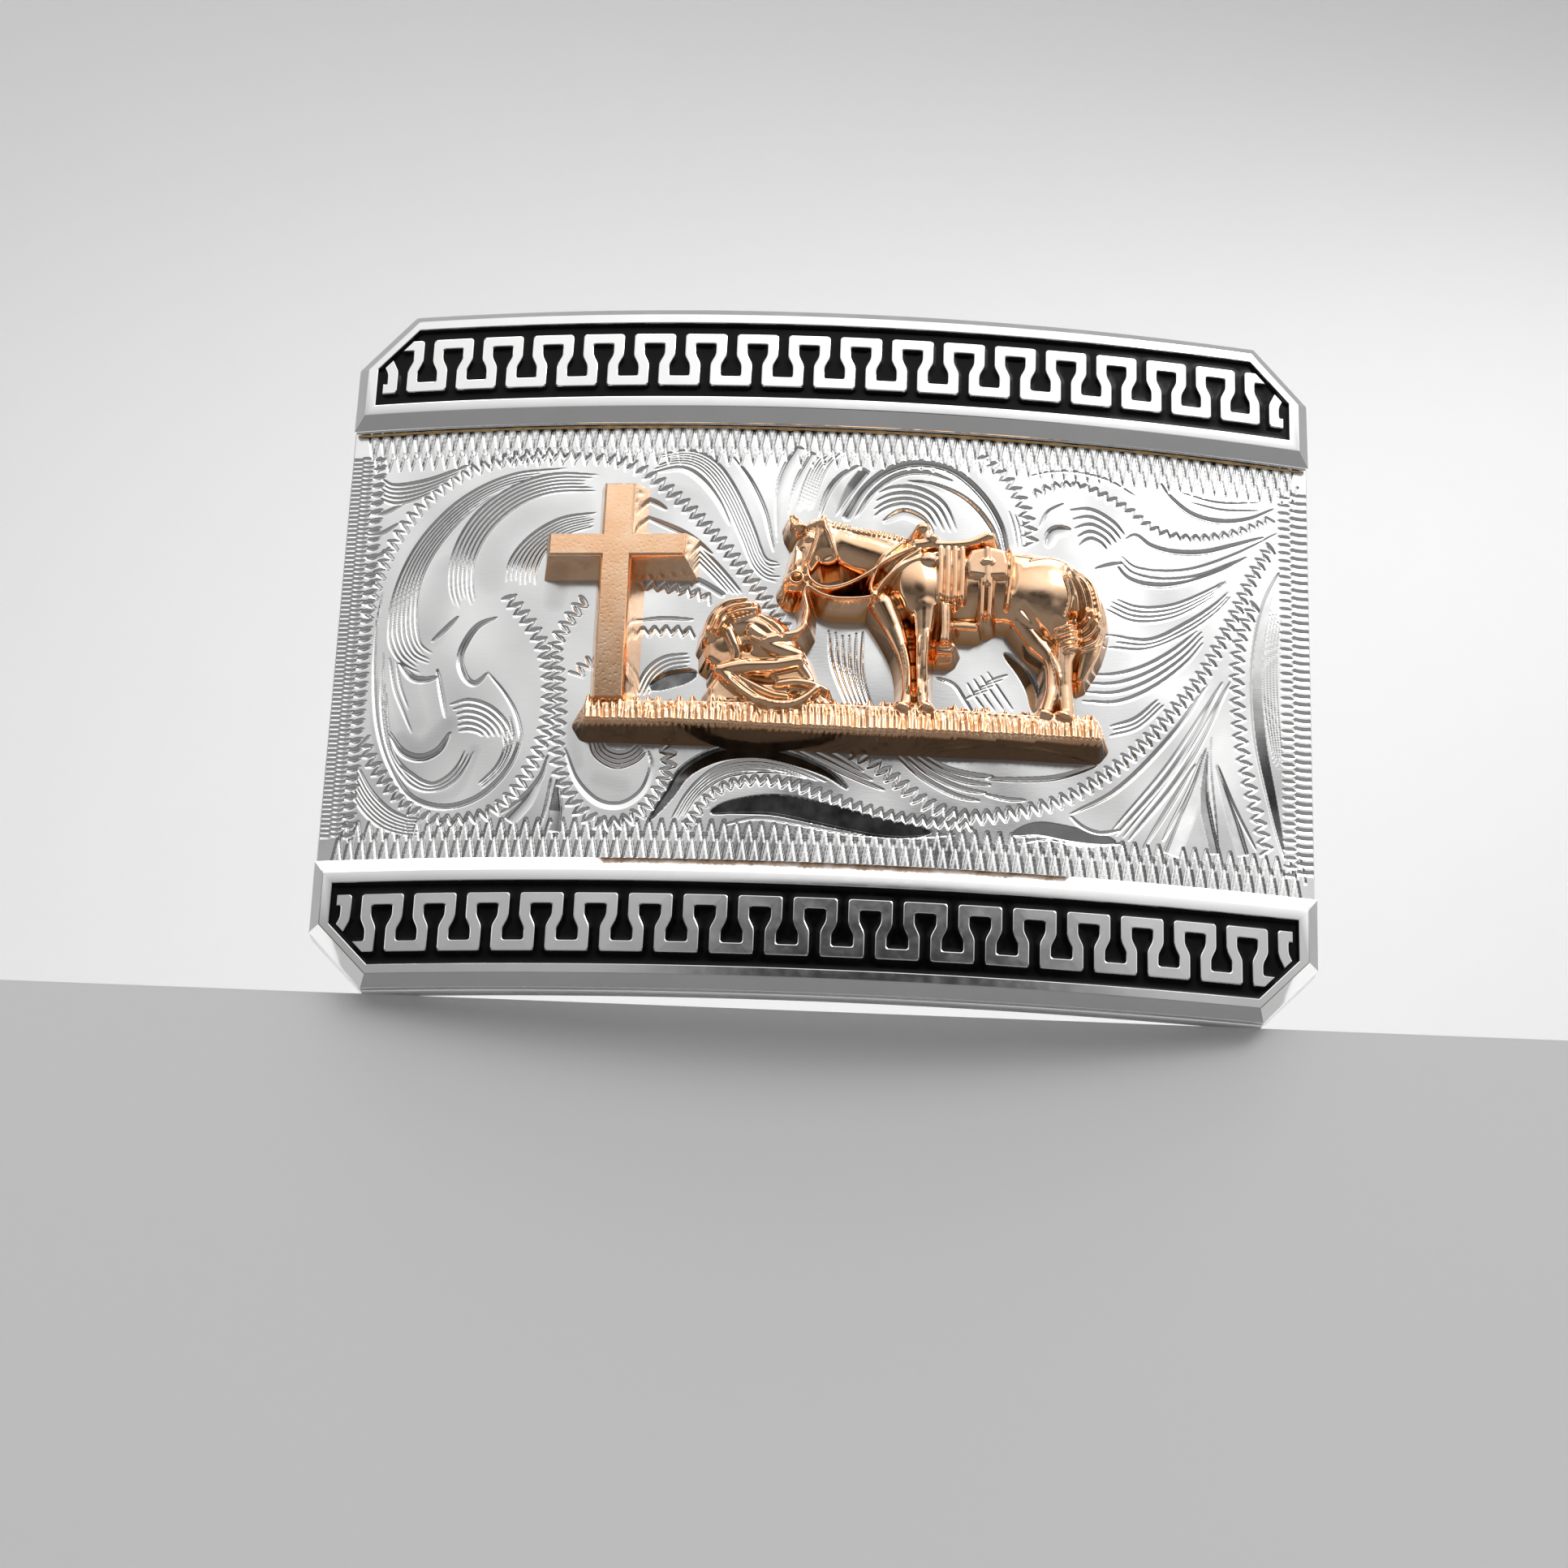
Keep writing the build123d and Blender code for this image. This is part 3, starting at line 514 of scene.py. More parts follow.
def dark_reflection_patches(panel):
    """Soft patches of painted dark reflection in the hollows of the scrolls."""
    for points, width, tone in (
        ([(-36.0, 1.0), (-35.4, 4.0), (-34.8, 6.8)], 1.9, 0.34),
        ([(-37.6, 8.4), (-35.4, 11.6), (-32.0, 14.2), (-27.0, 15.4)], 1.6, 0.22),
        ([(-30.6, 6.0), (-29.8, 9.6), (-27.4, 12.0), (-23.0, 13.0)], 1.8, 0.26),
        ([(-38.4, 1.0), (-38.2, -3.6), (-37.0, -7.6)], 1.5, 0.3),
        ([(-37.6, -9.4), (-35.8, -10.4), (-33.6, -8.2)], 1.1, 0.4),
        ([(-31.0, -10.6), (-32.4, -14.4), (-35.4, -15.2)], 0.7, 0.3),
        ([(-24.6, 3.6), (-24.2, 6.8), (-22.6, 8.8)], 1.2, 0.32),
        ([(-40.6, -4.0), (-40.2, -9.0), (-38.4, -13.6)], 0.6, 0.3),
        ([(-22.2, -8.6), (-21.6, -12.0)], 0.8, 0.3),
        ([(-19.6, -13.4), (-17.4, -14.0)], 0.9, 0.2),
        ([(-15.0, 14.2), (-12.0, 13.2), (-10.0, 11.0)], 1.4, 0.28),
        ([(5.6, 11.2), (8.0, 10.6)], 1.6, 0.4),
        ([(13.0, 17.0), (15.4, 14.0), (16.6, 11.0)], 0.9, 0.35),
        ([(0.4, 15.4), (1.8, 13.0)], 0.9, 0.35),
        ([(41.4, 4.0), (40.8, -3.0), (41.6, -11.0)], 0.9, 0.3),
        ([(31.6, -13.0), (30.0, -16.4)], 0.9, 0.22),
        ([(9.0, -17.0), (14.0, -17.4), (20.0, -15.4)], 1.2, 0.16),
    ):
        panel.cloud(points, width, tone)


def engraved_panel():
    """The whole engraved panel."""
    panel = Panel(PANEL_HALF_ARC, PANEL_HALF_HEIGHT, CELL)
    for motif in (left_scroll, lower_scrolls, upper_scrolls, right_scroll, leaf_fan, ground_cuts, border,
                  dark_reflection_patches):
        motif(panel)
    return panel


# ---------------------------------------------------------------- engraved plate
BORDER_STEP = 1.2
EDGE_ROUND = 0.22
PATCH_SHADE_START = 0.3  # painted shade where the soft patches of painted dark reflection begin and engraved_silver starts to darken; painted dark reflections on facets are stored from 1 to 2
DEEP_CUT = 0.25  # depth of cut whose painted shade is 1


def half_arc_at(height, half, top, clip):
    """Half width of a panel whose top corners are clipped, at this height."""
    return half - np.clip(np.abs(height) - (top - clip), 0, clip)


def soft_waves(arc, height):
    """The slight unevenness of hand-finished sheet."""
    waves = 0.045 * np.sin(arc / 3.1 + 0.6 * np.sin(height / 4.3)) * np.cos(height / 3.7 + 0.4)
    return waves + 0.024 * np.sin(arc / 1.7 + 2.0) * np.sin(height / 2.3 + arc / 9.0)


def make_plate():
    """The bent plate, its front engraved between the bars and its back plain."""
    panel = engraved_panel()
    outer = np.array([HALF_HEIGHT - CORNER_CLIP - BORDER_STEP, HALF_HEIGHT - CORNER_CLIP, HALF_HEIGHT])
    heights = np.concatenate([-outer[::-1], panel.heights, outer])
    margin = ((len(outer), len(outer)), (0, 0))
    depth, tone = np.pad(panel.depth, margin), np.pad(panel.tone, margin)
    share = panel.arcs / panel.arcs[-1]
    arc = share * half_arc_at(heights, HALF_ARC, HALF_HEIGHT, CORNER_CLIP)[:, None]
    height = np.broadcast_to(heights[:, None], arc.shape)
    level = PLATE_LEVEL - depth + soft_waves(arc, height)
    level[:, [0, -1]] -= EDGE_ROUND
    front = on_face(np.stack([arc, height, level], -1))
    rows, columns = arc.shape
    back_rows = [0, len(outer) - 2, rows - len(outer) + 1, rows - 1]
    behind = np.full((4, columns), PLATE_LEVEL - PLATE_THICKNESS)
    back = on_face(np.stack([arc[back_rows], height[back_rows], behind], -1))
    points = np.concatenate([front.reshape(-1, 3), back.reshape(-1, 3)])
    base = rows * columns
    faces = grid_faces(rows, columns).tolist()
    faces += grid_faces(4, columns, base)[:, ::-1].tolist()
    span = np.arange(columns - 1)
    for row, last, flip in ((0, 0, 1), (rows - 1, 3, -1)):
        a, b = row * columns + span, base + last * columns + span
        faces += np.stack([a, b, b + 1, a + 1], -1)[:, ::flip].tolist()
    for column, flip in ((0, -1), (columns - 1, 1)):
        for low, high in zip(range(3), range(1, 4)):
            edge = [row * columns + column for row in range(back_rows[low], back_rows[high] + 1)]
            face = [base + low * columns + column, base + high * columns + column] + edge[::-1]
            faces.append(face[::flip])
    # painted shade: deeper cuts are darker, soft patches are painted dark reflection, and leaning facets
    # marked from 1 to 2 are painted dark reflection
    patch_shade = np.where(tone < 0, PATCH_SHADE_START - 0.6 * tone, 0)
    painted_shade = np.where(tone > 0.02, 1 + tone, np.clip(np.maximum(depth / DEEP_CUT, patch_shade), 0, 1))
    painted_shade = np.concatenate([painted_shade.ravel(), np.zeros(4 * columns)])
    return make_piece("engraved_plate", points, faces, engraved_silver(), "engraved_silver", ["face_plate"],
                      sharp=0, painted_shade=painted_shade)


# ---------------------------------------------------------------- bars, keys and enamel
BAR_COLUMNS = 150
CLIP_COLUMNS = 8
DIAGONAL_INSET = 2 - math.sqrt(2)  # how fast a 45 degree clip shortens as its outline moves inwards
EDGE_SOFT = 0.06
KEY_EDGE = 0.09
KEY_TURN = 0.3
ENAMEL_CELL = 0.16
MENISCUS = 0.07
MENISCUS_REACH = 0.16


def bar_ring(half, low, high, clip, level):
    """One closed ring of points on a bar: along its low edge, and back along its clipped top."""
    clipped = np.linspace(half, half - clip, CLIP_COLUMNS + 1)
    arcs = np.concatenate([-clipped, np.linspace(clip - half, half - clip, BAR_COLUMNS + 1)[1:-1],
                           clipped[::-1]])
    tops = np.minimum(high, high - clip + (half - np.abs(arcs)))
    levels = np.full(len(arcs), level)
    return np.concatenate([np.stack([arcs, np.full(len(arcs), low), levels], -1),
                           np.stack([arcs, tops, levels], -1)[::-1]])


def outline_ring(inset, level):
    """A ring a distance inside the bar's outline; the bevel beside the engraving is wider and flatter."""
    low = BAR_INNER + inset * BAR_INNER_BEVEL / BAR_BEVEL
    ring = bar_ring(HALF_ARC - inset, low, HALF_HEIGHT - inset, CORNER_CLIP - DIAGONAL_INSET * inset, level)
    edge = ring[:len(ring) // 2]
    edge[:, 2] = RIM_LEVEL + (edge[:, 2] - RIM_LEVEL) * BAR_INNER_DROP / BAR_BEVEL
    return ring


def window_ring(outset, level):
    """A ring a distance outside the enamelled window."""
    return bar_ring(WINDOW_HALF + outset, WINDOW_LOW - outset, WINDOW_TOP + outset,
                    WINDOW_CLIP + DIAGONAL_INSET * outset, level)


def cap_faces(count, start):
    """Quads across a bar ring, from its low edge to its top."""
    low = np.arange(count // 2 - 1)
    return np.stack([low, low + 1, count - 2 - low, count - 1 - low], -1) + start


def mirrored(points, faces, upside_down):
    """The same shape, or its mirror image in the buckle's middle height."""
    if not upside_down:
        return points, faces
    faces = faces.tolist() if isinstance(faces, np.ndarray) else faces
    return points * (1, 1, -1), [face[::-1] for face in faces]


def bar_frame():
    """A bar without its keys: walls, wide bevel, narrow rim and sunk window."""
    bevel_foot = RIM_LEVEL - BAR_BEVEL
    rings = [
        outline_ring(0, PLATE_LEVEL - 0.05),
        outline_ring(0, bevel_foot - EDGE_SOFT),
        outline_ring(EDGE_SOFT * 0.3, bevel_foot - EDGE_SOFT * 0.1),
        outline_ring(EDGE_SOFT, bevel_foot + EDGE_SOFT * 0.8),
        outline_ring(BAR_BEVEL - EDGE_SOFT, RIM_LEVEL - EDGE_SOFT),
        outline_ring(BAR_BEVEL - EDGE_SOFT * 0.3, RIM_LEVEL - EDGE_SOFT * 0.25),
        outline_ring(BAR_BEVEL + EDGE_SOFT, RIM_LEVEL),
        window_ring(KEY_EDGE, RIM_LEVEL),
        window_ring(KEY_EDGE * 0.3, RIM_LEVEL - KEY_EDGE * 0.3),
        window_ring(0, RIM_LEVEL - KEY_EDGE),
        window_ring(0, -ENAMEL_DEPTH),
    ]
    count = len(rings[0])
    faces = ring_faces(len(rings), count)
    caps = [cap_faces(count, (len(rings) - 1) * count), cap_faces(count, 0)[:, ::-1]]
    return on_face(np.concatenate(rings)), np.concatenate([faces] + caps)


def key_centre_line():
    """The running key's middle line, as corners in (arc, height), and where the clipped corners end it."""
    loop = [(-KEY_NARROW, KEY_HALF_HEIGHT), (-KEY_NARROW, KEY_NECK)]
    loop += [(-KEY_WIDE, -KEY_NECK), (-KEY_WIDE, -KEY_HALF_HEIGHT)]
    loop += [(-u, v) for u, v in reversed(loop)]
    turns = range(1 - KEYS_EACH_SIDE, KEYS_EACH_SIDE)
    line = [(turn * KEY_PITCH + u, WINDOW_MIDDLE + v) for turn in turns for u, v in loop]
    cut = WINDOW_HALF - KEY_SIDE_GAP + WINDOW_TOP - WINDOW_CLIP
    flag = cut - WINDOW_MIDDLE - KEY_HALF_HEIGHT
    return [(-flag, line[0][1])] + line + [(flag, line[0][1])], cut


def ribbon(line, end_cuts):
    """A flat-topped raised band with rounded turns. Each end is cut off along its own direction."""
    corners = [np.array(point, float) for point in line]
    runs = [(b - a) / np.linalg.norm(b - a) for a, b in zip(corners, corners[1:])]
    sides = [np.array([-run[1], run[0]]) for run in runs]
    mitres = []
    for i in range(len(corners)):
        if i in (0, len(corners) - 1):
            side, run, cut = sides[-1 if i else 0], runs[-1 if i else 0], end_cuts[1 if i else 0]
            mitres.append(side - run * np.cross(side, cut) / np.cross(run, cut))
        else:
            both = sides[i - 1] + sides[i]
            mitres.append(both / np.dot(both, sides[i]))
    half = KEY_STROKE / 2
    profile = [(half, -ENAMEL_DEPTH), (half, RIM_LEVEL - KEY_EDGE)]
    profile += [(half - KEY_EDGE * 0.3, RIM_LEVEL - KEY_EDGE * 0.3), (half - KEY_EDGE, RIM_LEVEL)]
    profile += [(-offset, level) for offset, level in reversed(profile)]
    rows = []
    for offset, level in profile:
        row = rounded([c + offset * mitre for c, mitre in zip(corners, mitres)], KEY_TURN)
        rows.append(np.column_stack([row, np.full(len(row), level)]))
    count = len(profile)
    last = (len(rows[0]) - 1) * count
    faces = ring_faces(len(rows[0]), count).tolist()
    faces += [list(range(count)), [last + count - 1 - i for i in range(count)]]
    return on_face(np.array(rows).swapaxes(0, 1)).reshape(-1, 3), faces


def joined(parts):
    """Several (points, faces) as one."""
    points, faces, start = [], [], 0
    for part_points, part_faces in parts:
        points.append(np.asarray(part_points).reshape(-1, 3))
        part_faces = part_faces.tolist() if isinstance(part_faces, np.ndarray) else part_faces
        faces += [[start + i for i in face] for face in part_faces]
        start += len(points[-1])
    return np.concatenate(points), faces


def key_bands():
    """The running key and the two stubs that the clipped corners leave of its last turns."""
    line, cut = key_centre_line()
    parts = [ribbon(line, ((1, 1), (1, -1)))]
    side = WINDOW_HALF - KEY_SIDE_GAP
    foot = WINDOW_MIDDLE - KEY_HALF_HEIGHT
    leg = KEYS_EACH_SIDE * KEY_PITCH - KEY_WIDE
    step = np.array([KEY_WIDE - KEY_NARROW, 2 * KEY_NECK])
    neck = np.array([leg, WINDOW_MIDDLE - KEY_NECK])
    end = neck + step * (cut - neck.sum()) / step.sum()
    stub = [tuple(end), tuple(neck), (leg, foot), (side, foot)]
    parts.append(ribbon(stub, ((1, -1), (0, 1))))
    parts.append(ribbon([(-u, v) for u, v in reversed(stub)], ((0, 1), (1, 1))))
    return joined(parts), line


def enamel_slab(line):
    """Glossy enamel that creeps up slightly where it meets metal."""
    arcs = np.linspace(-WINDOW_HALF, WINDOW_HALF, int(2 * WINDOW_HALF / ENAMEL_CELL))
    tops = np.minimum(WINDOW_TOP, WINDOW_TOP - WINDOW_CLIP + WINDOW_HALF - np.abs(arcs))
    share = np.linspace(0, 1, int(WINDOW_HEIGHT / ENAMEL_CELL))[:, None]
    arc = np.broadcast_to(arcs, (len(share), len(arcs)))
    height = WINDOW_LOW + share * (tops - WINDOW_LOW)
    spots = np.stack([arc, height], -1)
    gap = np.minimum(np.minimum(height - WINDOW_LOW, WINDOW_HALF - np.abs(arc)), tops - height)
    corners = np.array(line)
    for a, b in zip(corners, corners[1:]):
        near = slice(*np.searchsorted(arcs, (min(a[0], b[0]) - 1.5, max(a[0], b[0]) + 1.5)))
        along = np.clip(((spots[:, near] - a) @ (b - a)) / ((b - a) @ (b - a)), 0, 1)
        away = np.linalg.norm(spots[:, near] - a - along[..., None] * (b - a), axis=-1) - KEY_STROKE / 2
        gap[:, near] = np.minimum(gap[:, near], away)
    level = MENISCUS * np.exp(-np.clip(gap, 0, None) / MENISCUS_REACH)
    rows, columns = arc.shape
    top = np.stack([arc, height, level], -1)
    floor = np.stack([arc, height, np.full(arc.shape, -ENAMEL_DEPTH)], -1)
    points = on_face(np.concatenate([top.reshape(-1, 3), floor.reshape(-1, 3)]))
    base = rows * columns
    rim = np.concatenate([np.arange(columns - 1), np.arange(rows - 1) * columns + columns - 1,
                          base - 1 - np.arange(columns - 1), base - columns - np.arange(rows - 1) * columns])
    beside = np.roll(rim, -1)
    faces = np.concatenate([grid_faces(rows, columns), grid_faces(rows, columns, base)[:, ::-1],
                            np.stack([rim, base + rim, base + beside, beside], -1)])
    return points, faces


def braze_line():
    """The thin bead of brass where a bar's inner edge meets the plate."""
    arcs = np.linspace(-HALF_ARC + 0.3, HALF_ARC - 0.3, 260)
    size = 0.16 + 0.05 * np.sin(arcs * 1.9) * np.sin(arcs * 0.37)
    profile = [(0.05, 0.9), (-0.35, 0.55), (-0.75, 0.25), (-1.1, -0.1), (0.05, -0.3)]
    points = np.array([np.column_stack([arcs, BAR_INNER + down * size, PLATE_LEVEL + up * size + 0.03])
                       for down, up in profile]).swapaxes(0, 1)
    count = len(profile)
    faces = ring_faces(len(arcs), count)[:, ::-1].tolist()
    faces += [list(range(count))[::-1], [len(arcs) * count - count + i for i in range(count)]]
    return on_face(points).reshape(-1, 3), faces


def make_bars(brass):
    """Both bars, their enamel and their braze lines."""
    silver, enamel = polished_silver(), black_enamel()
    keys, line = key_bands()
    frame_shape, slab, braze = bar_frame(), enamel_slab(line), braze_line()
    for place, flipped in (("top", False), ("bottom", True)):
        make_piece(f"{place}_bar_frame", *mirrored(*frame_shape, flipped), silver, "polished_silver",
                   [f"{place}_bar"], sharp=9)
        make_piece(f"{place}_bar_keys", *mirrored(*keys, flipped), silver, "polished_silver", sharp=9)
        make_piece(f"{place}_enamel", *mirrored(*slab, flipped), enamel, "black_enamel",
                   [f"{place}_bar_enamel"])
        make_piece(f"{place}_braze", *mirrored(*braze, flipped), brass, "rivet_brass", sharp=60)


# ---------------------------------------------------------------- cross
CROSS_MIDDLE = -18.75
CROSS_LEVEL = 2.7
CROSS_FOOT = -7.9
CROSS_HEAD = 14.6
CROSS_POST_HALF = 2.2
CROSS_ARM_MIDDLE = 7.6
CROSS_ARM_HALF = 1.95
CROSS_ARM_REACH = 7.0
CROSS_DRAFT = math.tan(math.radians(13))
CROSS_EDGE = 0.16
CROSS_CROWN = 0.38  # how far the face falls back at its head and foot


def square_to_face(arc):
    """Turns (sideways, height, level) at this arc into metres, on a flat plane square to the face."""
    turn = arc / FACE_RADIUS
    axes = np.array([(math.cos(turn), math.sin(turn), 0), (0, 0, 1), (math.sin(turn), -math.cos(turn), 0)])
    origin = np.array([FACE_RADIUS * math.sin(turn), AXIS_Y - FACE_RADIUS * math.cos(turn), 0])
    return lambda shape: MM * (np.asarray(shape, float) @ axes + origin)


def cross_ring(inset, level):
    """The cross's twelve corners, moved inwards."""
    post, arm = CROSS_POST_HALF - inset, CROSS_ARM_HALF - inset
    reach, head, foot = CROSS_ARM_REACH - inset, CROSS_HEAD - inset, CROSS_FOOT + inset
    low, high = CROSS_ARM_MIDDLE - arm, CROSS_ARM_MIDDLE + arm
    right = [(post, foot), (post, low), (reach, low), (reach, high), (post, high), (post, head)]
    corners = right + [(-u, v) for u, v in reversed(right)]
    share = max(0, level - PLATE_LEVEL) / (CROSS_LEVEL - PLATE_LEVEL)
    crown = CROSS_CROWN * share / (CROSS_HEAD - CROSS_FOOT) ** 2
    points = []
    for a, b in zip(corners, corners[1:] + corners[:1]):
        for t in np.linspace(0, 1, 9)[:-1]:
            u, v = a[0] + t * (b[0] - a[0]), a[1] + t * (b[1] - a[1])
            points.append((u, v, level - crown * (2 * v - CROSS_HEAD - CROSS_FOOT) ** 2))
    return points


def make_cross():
    """The drafted cross with a thin bright bevel round its flat face."""
    height = CROSS_LEVEL - PLATE_LEVEL
    full = CROSS_DRAFT * height
    rings = [cross_ring(-0.06, PLATE_LEVEL - 0.3), cross_ring(0.05, PLATE_LEVEL + 0.25)]
    rings += [cross_ring(full * t, PLATE_LEVEL + height * t) for t in (0.35, 0.65, 0.9)]
    rings += [cross_ring(full + CROSS_EDGE * 0.1, CROSS_LEVEL - CROSS_EDGE),
              cross_ring(full + CROSS_EDGE, CROSS_LEVEL)]
    count = len(rings[0])
    faces = ring_faces(len(rings), count).tolist()
    top = (len(rings) - 1) * count
    side = count // 12
    for right, left in ((0, 10), (2, 8), (4, 6)):
        up = [top + side * right + j for j in range(side + 1)]
        down = [top + side * (left + 1) - j for j in range(side + 1)]
        faces += [[up[j], up[j + 1], down[j + 1], down[j]] for j in range(side)]
    place = square_to_face(CROSS_MIDDLE)
    faces.append(list(range(count))[::-1])
    return make_piece("gilt_cross", place(np.array(rings).reshape(-1, 3)), faces, rose_gold_satin(),
                      "rose_gold", ["cross"], sharp=25)


# ---------------------------------------------------------------- relief of the castings
RELIEF_CELL = 0.085
GROUND_FRONT = (-9.15, 1.95)  # the ground's front wall, painted dark brown as shade, is below this height and level
RELIEF_FLOOR = PLATE_LEVEL - 0.45
WALL_SLOPE = 5.5
GROOVE_END = 0.15  # share of a groove's length over which each end fades


class Relief:
    """A carved height field: levels on a regular grid, built up from limbs, mounds, ridges and grooves."""

    def __init__(self, low, high):
        self.arcs = np.arange(low[0], high[0], RELIEF_CELL)
        self.heights = np.arange(low[1], high[1], RELIEF_CELL)
        self.u, self.v = np.meshgrid(self.arcs, self.heights)
        self.level = np.full(self.u.shape, RELIEF_FLOOR)

    def window(self, points, margin):
        """The part of the grid within a margin of these points."""
        low, high = np.min(points, axis=0) - margin, np.max(points, axis=0) + margin
        return (slice(*np.searchsorted(self.heights, (low[1], high[1]))),
                slice(*np.searchsorted(self.arcs, (low[0], high[0]))))

    def measured(self, points, margin):
        """Distance from every grid point near a smooth curve, and how far along the curve it is."""
        line = smooth_curve(points, 0.12)[0] if len(points) > 1 else np.array(points, float)
        area = self.window(line, margin)
        u, v = self.u[area], self.v[area]
        distance = np.full(u.shape, 1e3)
        place = np.zeros(u.shape)
        share = np.linspace(0, 1, len(line))
        for i in range(max(1, len(line) - 1)):
            a, b = line[i], line[min(i + 1, len(line) - 1)]
            run = b - a
            t = np.clip(((u - a[0]) * run[0] + (v - a[1]) * run[1]) / max(run @ run, 1e-9), 0, 1)
            d = np.hypot(u - a[0] - t * run[0], v - a[1] - t * run[1])
            nearer = d < distance
            distance = np.where(nearer, d, distance)
            step = share[min(i + 1, len(line) - 1)] - share[i]
            place = np.where(nearer, share[i] + t * step, place)
        return area, distance, place

    def join(self, area, values, soft):
        """Smooth union of the surface with new levels."""
        old = self.level[area]
        blend = np.clip(soft - np.abs(old - values), 0, None) ** 2 / (4 * soft) if soft else 0
        self.level[area] = np.maximum(old, values) + blend

    def limb(self, points, radii, tops, soft=0.25, flat=1.0):
        """A rounded limb along a curve, with its radius and crest given at even steps."""
        area, distance, place = self.measured(points, max(radii) + 1.2)
        radius = np.interp(place, np.linspace(0, 1, len(radii)), radii)
        top = np.interp(place, np.linspace(0, 1, len(tops)), tops)
        inside = np.sqrt(np.clip(1 - (distance / radius) ** 2, 0, None)) - 1
        outside = top - flat * radius - WALL_SLOPE * (distance - radius)
        self.join(area, np.where(distance < radius, top + flat * radius * inside, outside), soft)

    def mound(self, centre, radii, top, turn=0, soft=0.4, dome=0.8):
        """An oval swelling."""
        area = self.window([centre], max(radii) + 1.2)
        c, s = math.cos(math.radians(turn)), math.sin(math.radians(turn))
        du, dv = self.u[area] - centre[0], self.v[area] - centre[1]
        reach = np.hypot((du * c + dv * s) / radii[0], (dv * c - du * s) / radii[1])
        inside = top + dome * (np.sqrt(np.clip(1 - reach**2, 0, None)) - 1)
        outside = top - dome - WALL_SLOPE * (reach - 1) * min(radii)
        self.join(area, np.where(reach < 1, inside, outside), soft)

    def slab(self, corners, top, edge=0.25, slope=WALL_SLOPE):
        """A flat-topped piece with this outline, its edge softened."""
        corners = np.array(corners, float)
        area = self.window(corners, 1.2)
        u, v = self.u[area], self.v[area]
        distance = np.full(u.shape, 1e3)
        inside = np.zeros(u.shape, bool)
        for a, b in zip(corners, np.roll(corners, -1, 0)):
            run = b - a
            t = np.clip(((u - a[0]) * run[0] + (v - a[1]) * run[1]) / max(run @ run, 1e-9), 0, 1)
            distance = np.minimum(distance, np.hypot(u - a[0] - t * run[0], v - a[1] - t * run[1]))
            crosses = (a[1] > v) != (b[1] > v)
            inside ^= crosses & (u < a[0] + (v - a[1]) / (run[1] if run[1] else 1e-9) * run[0])
        shoulder = 1 - np.clip(distance / edge, 0, 1)
        values = np.where(inside, top - edge * (1 - np.sqrt(1 - shoulder**2)), top - edge - slope * distance)
        self.join(area, values, 0)

    def ridge(self, points, width, height, ends=0.12):
        """A raised cord or strap that lies on whatever is under it."""
        area, distance, place = self.measured(points, width + 0.1)
        fade = np.clip(np.minimum(place, 1 - place) / ends, 0, 1) ** 0.5 if ends else 1.0
        self.level[area] += height * fade * np.sqrt(np.clip(1 - (distance / width) ** 2, 0, None))

    def groove(self, points, width, depth):
        """A rounded hollow along a curve."""
        area, distance, place = self.measured(points, width + 0.1)
        fade = np.clip(np.minimum(place, 1 - place) / GROOVE_END, 0, 1)
        self.level[area] -= depth * fade * np.clip(1 - (distance / width) ** 2, 0, None) ** 1.2

    def strap(self, points, width, height):
        """A flat band with crisp edges."""
        area, distance, _ = self.measured(points, width + 0.2)
        self.level[area] += height * np.clip((width - distance) / 0.08, 0, 1)

    def sink(self, centre, radii, depth, turn=0):
        """An oval hollow."""
        area = self.window([centre], max(radii) + 0.1)
        c, s = math.cos(math.radians(turn)), math.sin(math.radians(turn))
        du, dv = self.u[area] - centre[0], self.v[area] - centre[1]
        reach = np.hypot((du * c + dv * s) / radii[0], (dv * c - du * s) / radii[1])
        self.level[area] -= depth * np.clip(1 - reach**2, 0, None)

    def soften(self, times):
        """Evens out steps of one grid cell."""
        for _ in range(times):
            level = np.pad(self.level, 1, mode="edge")
            around = level[:-2, 1:-1] + level[2:, 1:-1] + level[1:-1, :-2] + level[1:-1, 2:]
            self.level = 0.5 * self.level + 0.125 * around

    def solid(self):
        """Points, faces and painted shade of the closed casting; what lies below the floor is left out."""
        kept = self.level > RELIEF_FLOOR + 0.02
        cells = kept[:-1, :-1] | kept[1:, :-1] | kept[:-1, 1:] | kept[1:, 1:]
        rows, columns = np.nonzero(cells)
        wide = len(self.arcs)
        here = rows * wide + columns
        quads = np.stack([here, here + 1, here + wide + 1, here + wide], -1)
        used, compact = np.unique(quads, return_inverse=True)
        quads = compact.reshape(-1, 4)
        levels = np.maximum(self.level, RELIEF_FLOOR)
        top = np.stack([field.ravel()[used] for field in (self.u, self.v, levels)], -1)
        base = top.copy()
        base[:, 2] = RELIEF_FLOOR - 0.12
        edges = np.concatenate([quads[:, [k, (k + 1) % 4]] for k in range(4)])
        keys = edges[:, 0] * len(used) + edges[:, 1]
        rim = edges[~np.isin(keys, edges[:, 1] * len(used) + edges[:, 0])]
        walls = np.stack([rim[:, 1], rim[:, 0], rim[:, 0] + len(used), rim[:, 1] + len(used)], -1)
        faces = np.concatenate([quads, quads[:, ::-1] + len(used), walls])
        # painted shade: darker in hollows below the blurred surface and on low parts near the plate; the
        # ground's front wall is marked 2, a dark brown painted shade
        wide_view = Relief.blurred(self.level, 9)
        hollow = np.clip((wide_view - self.level) / 0.9 + 0.15, 0, 1).ravel()[used]
        low = np.clip((1.2 - self.level) / 2.4, 0, 1).ravel()[used]
        painted_shade = np.maximum(hollow, low)
        painted_shade[(top[:, 1] < GROUND_FRONT[0]) & (top[:, 2] < GROUND_FRONT[1])] = 2.0
        return np.concatenate([top, base]), faces, np.concatenate([painted_shade, np.ones(len(used))])

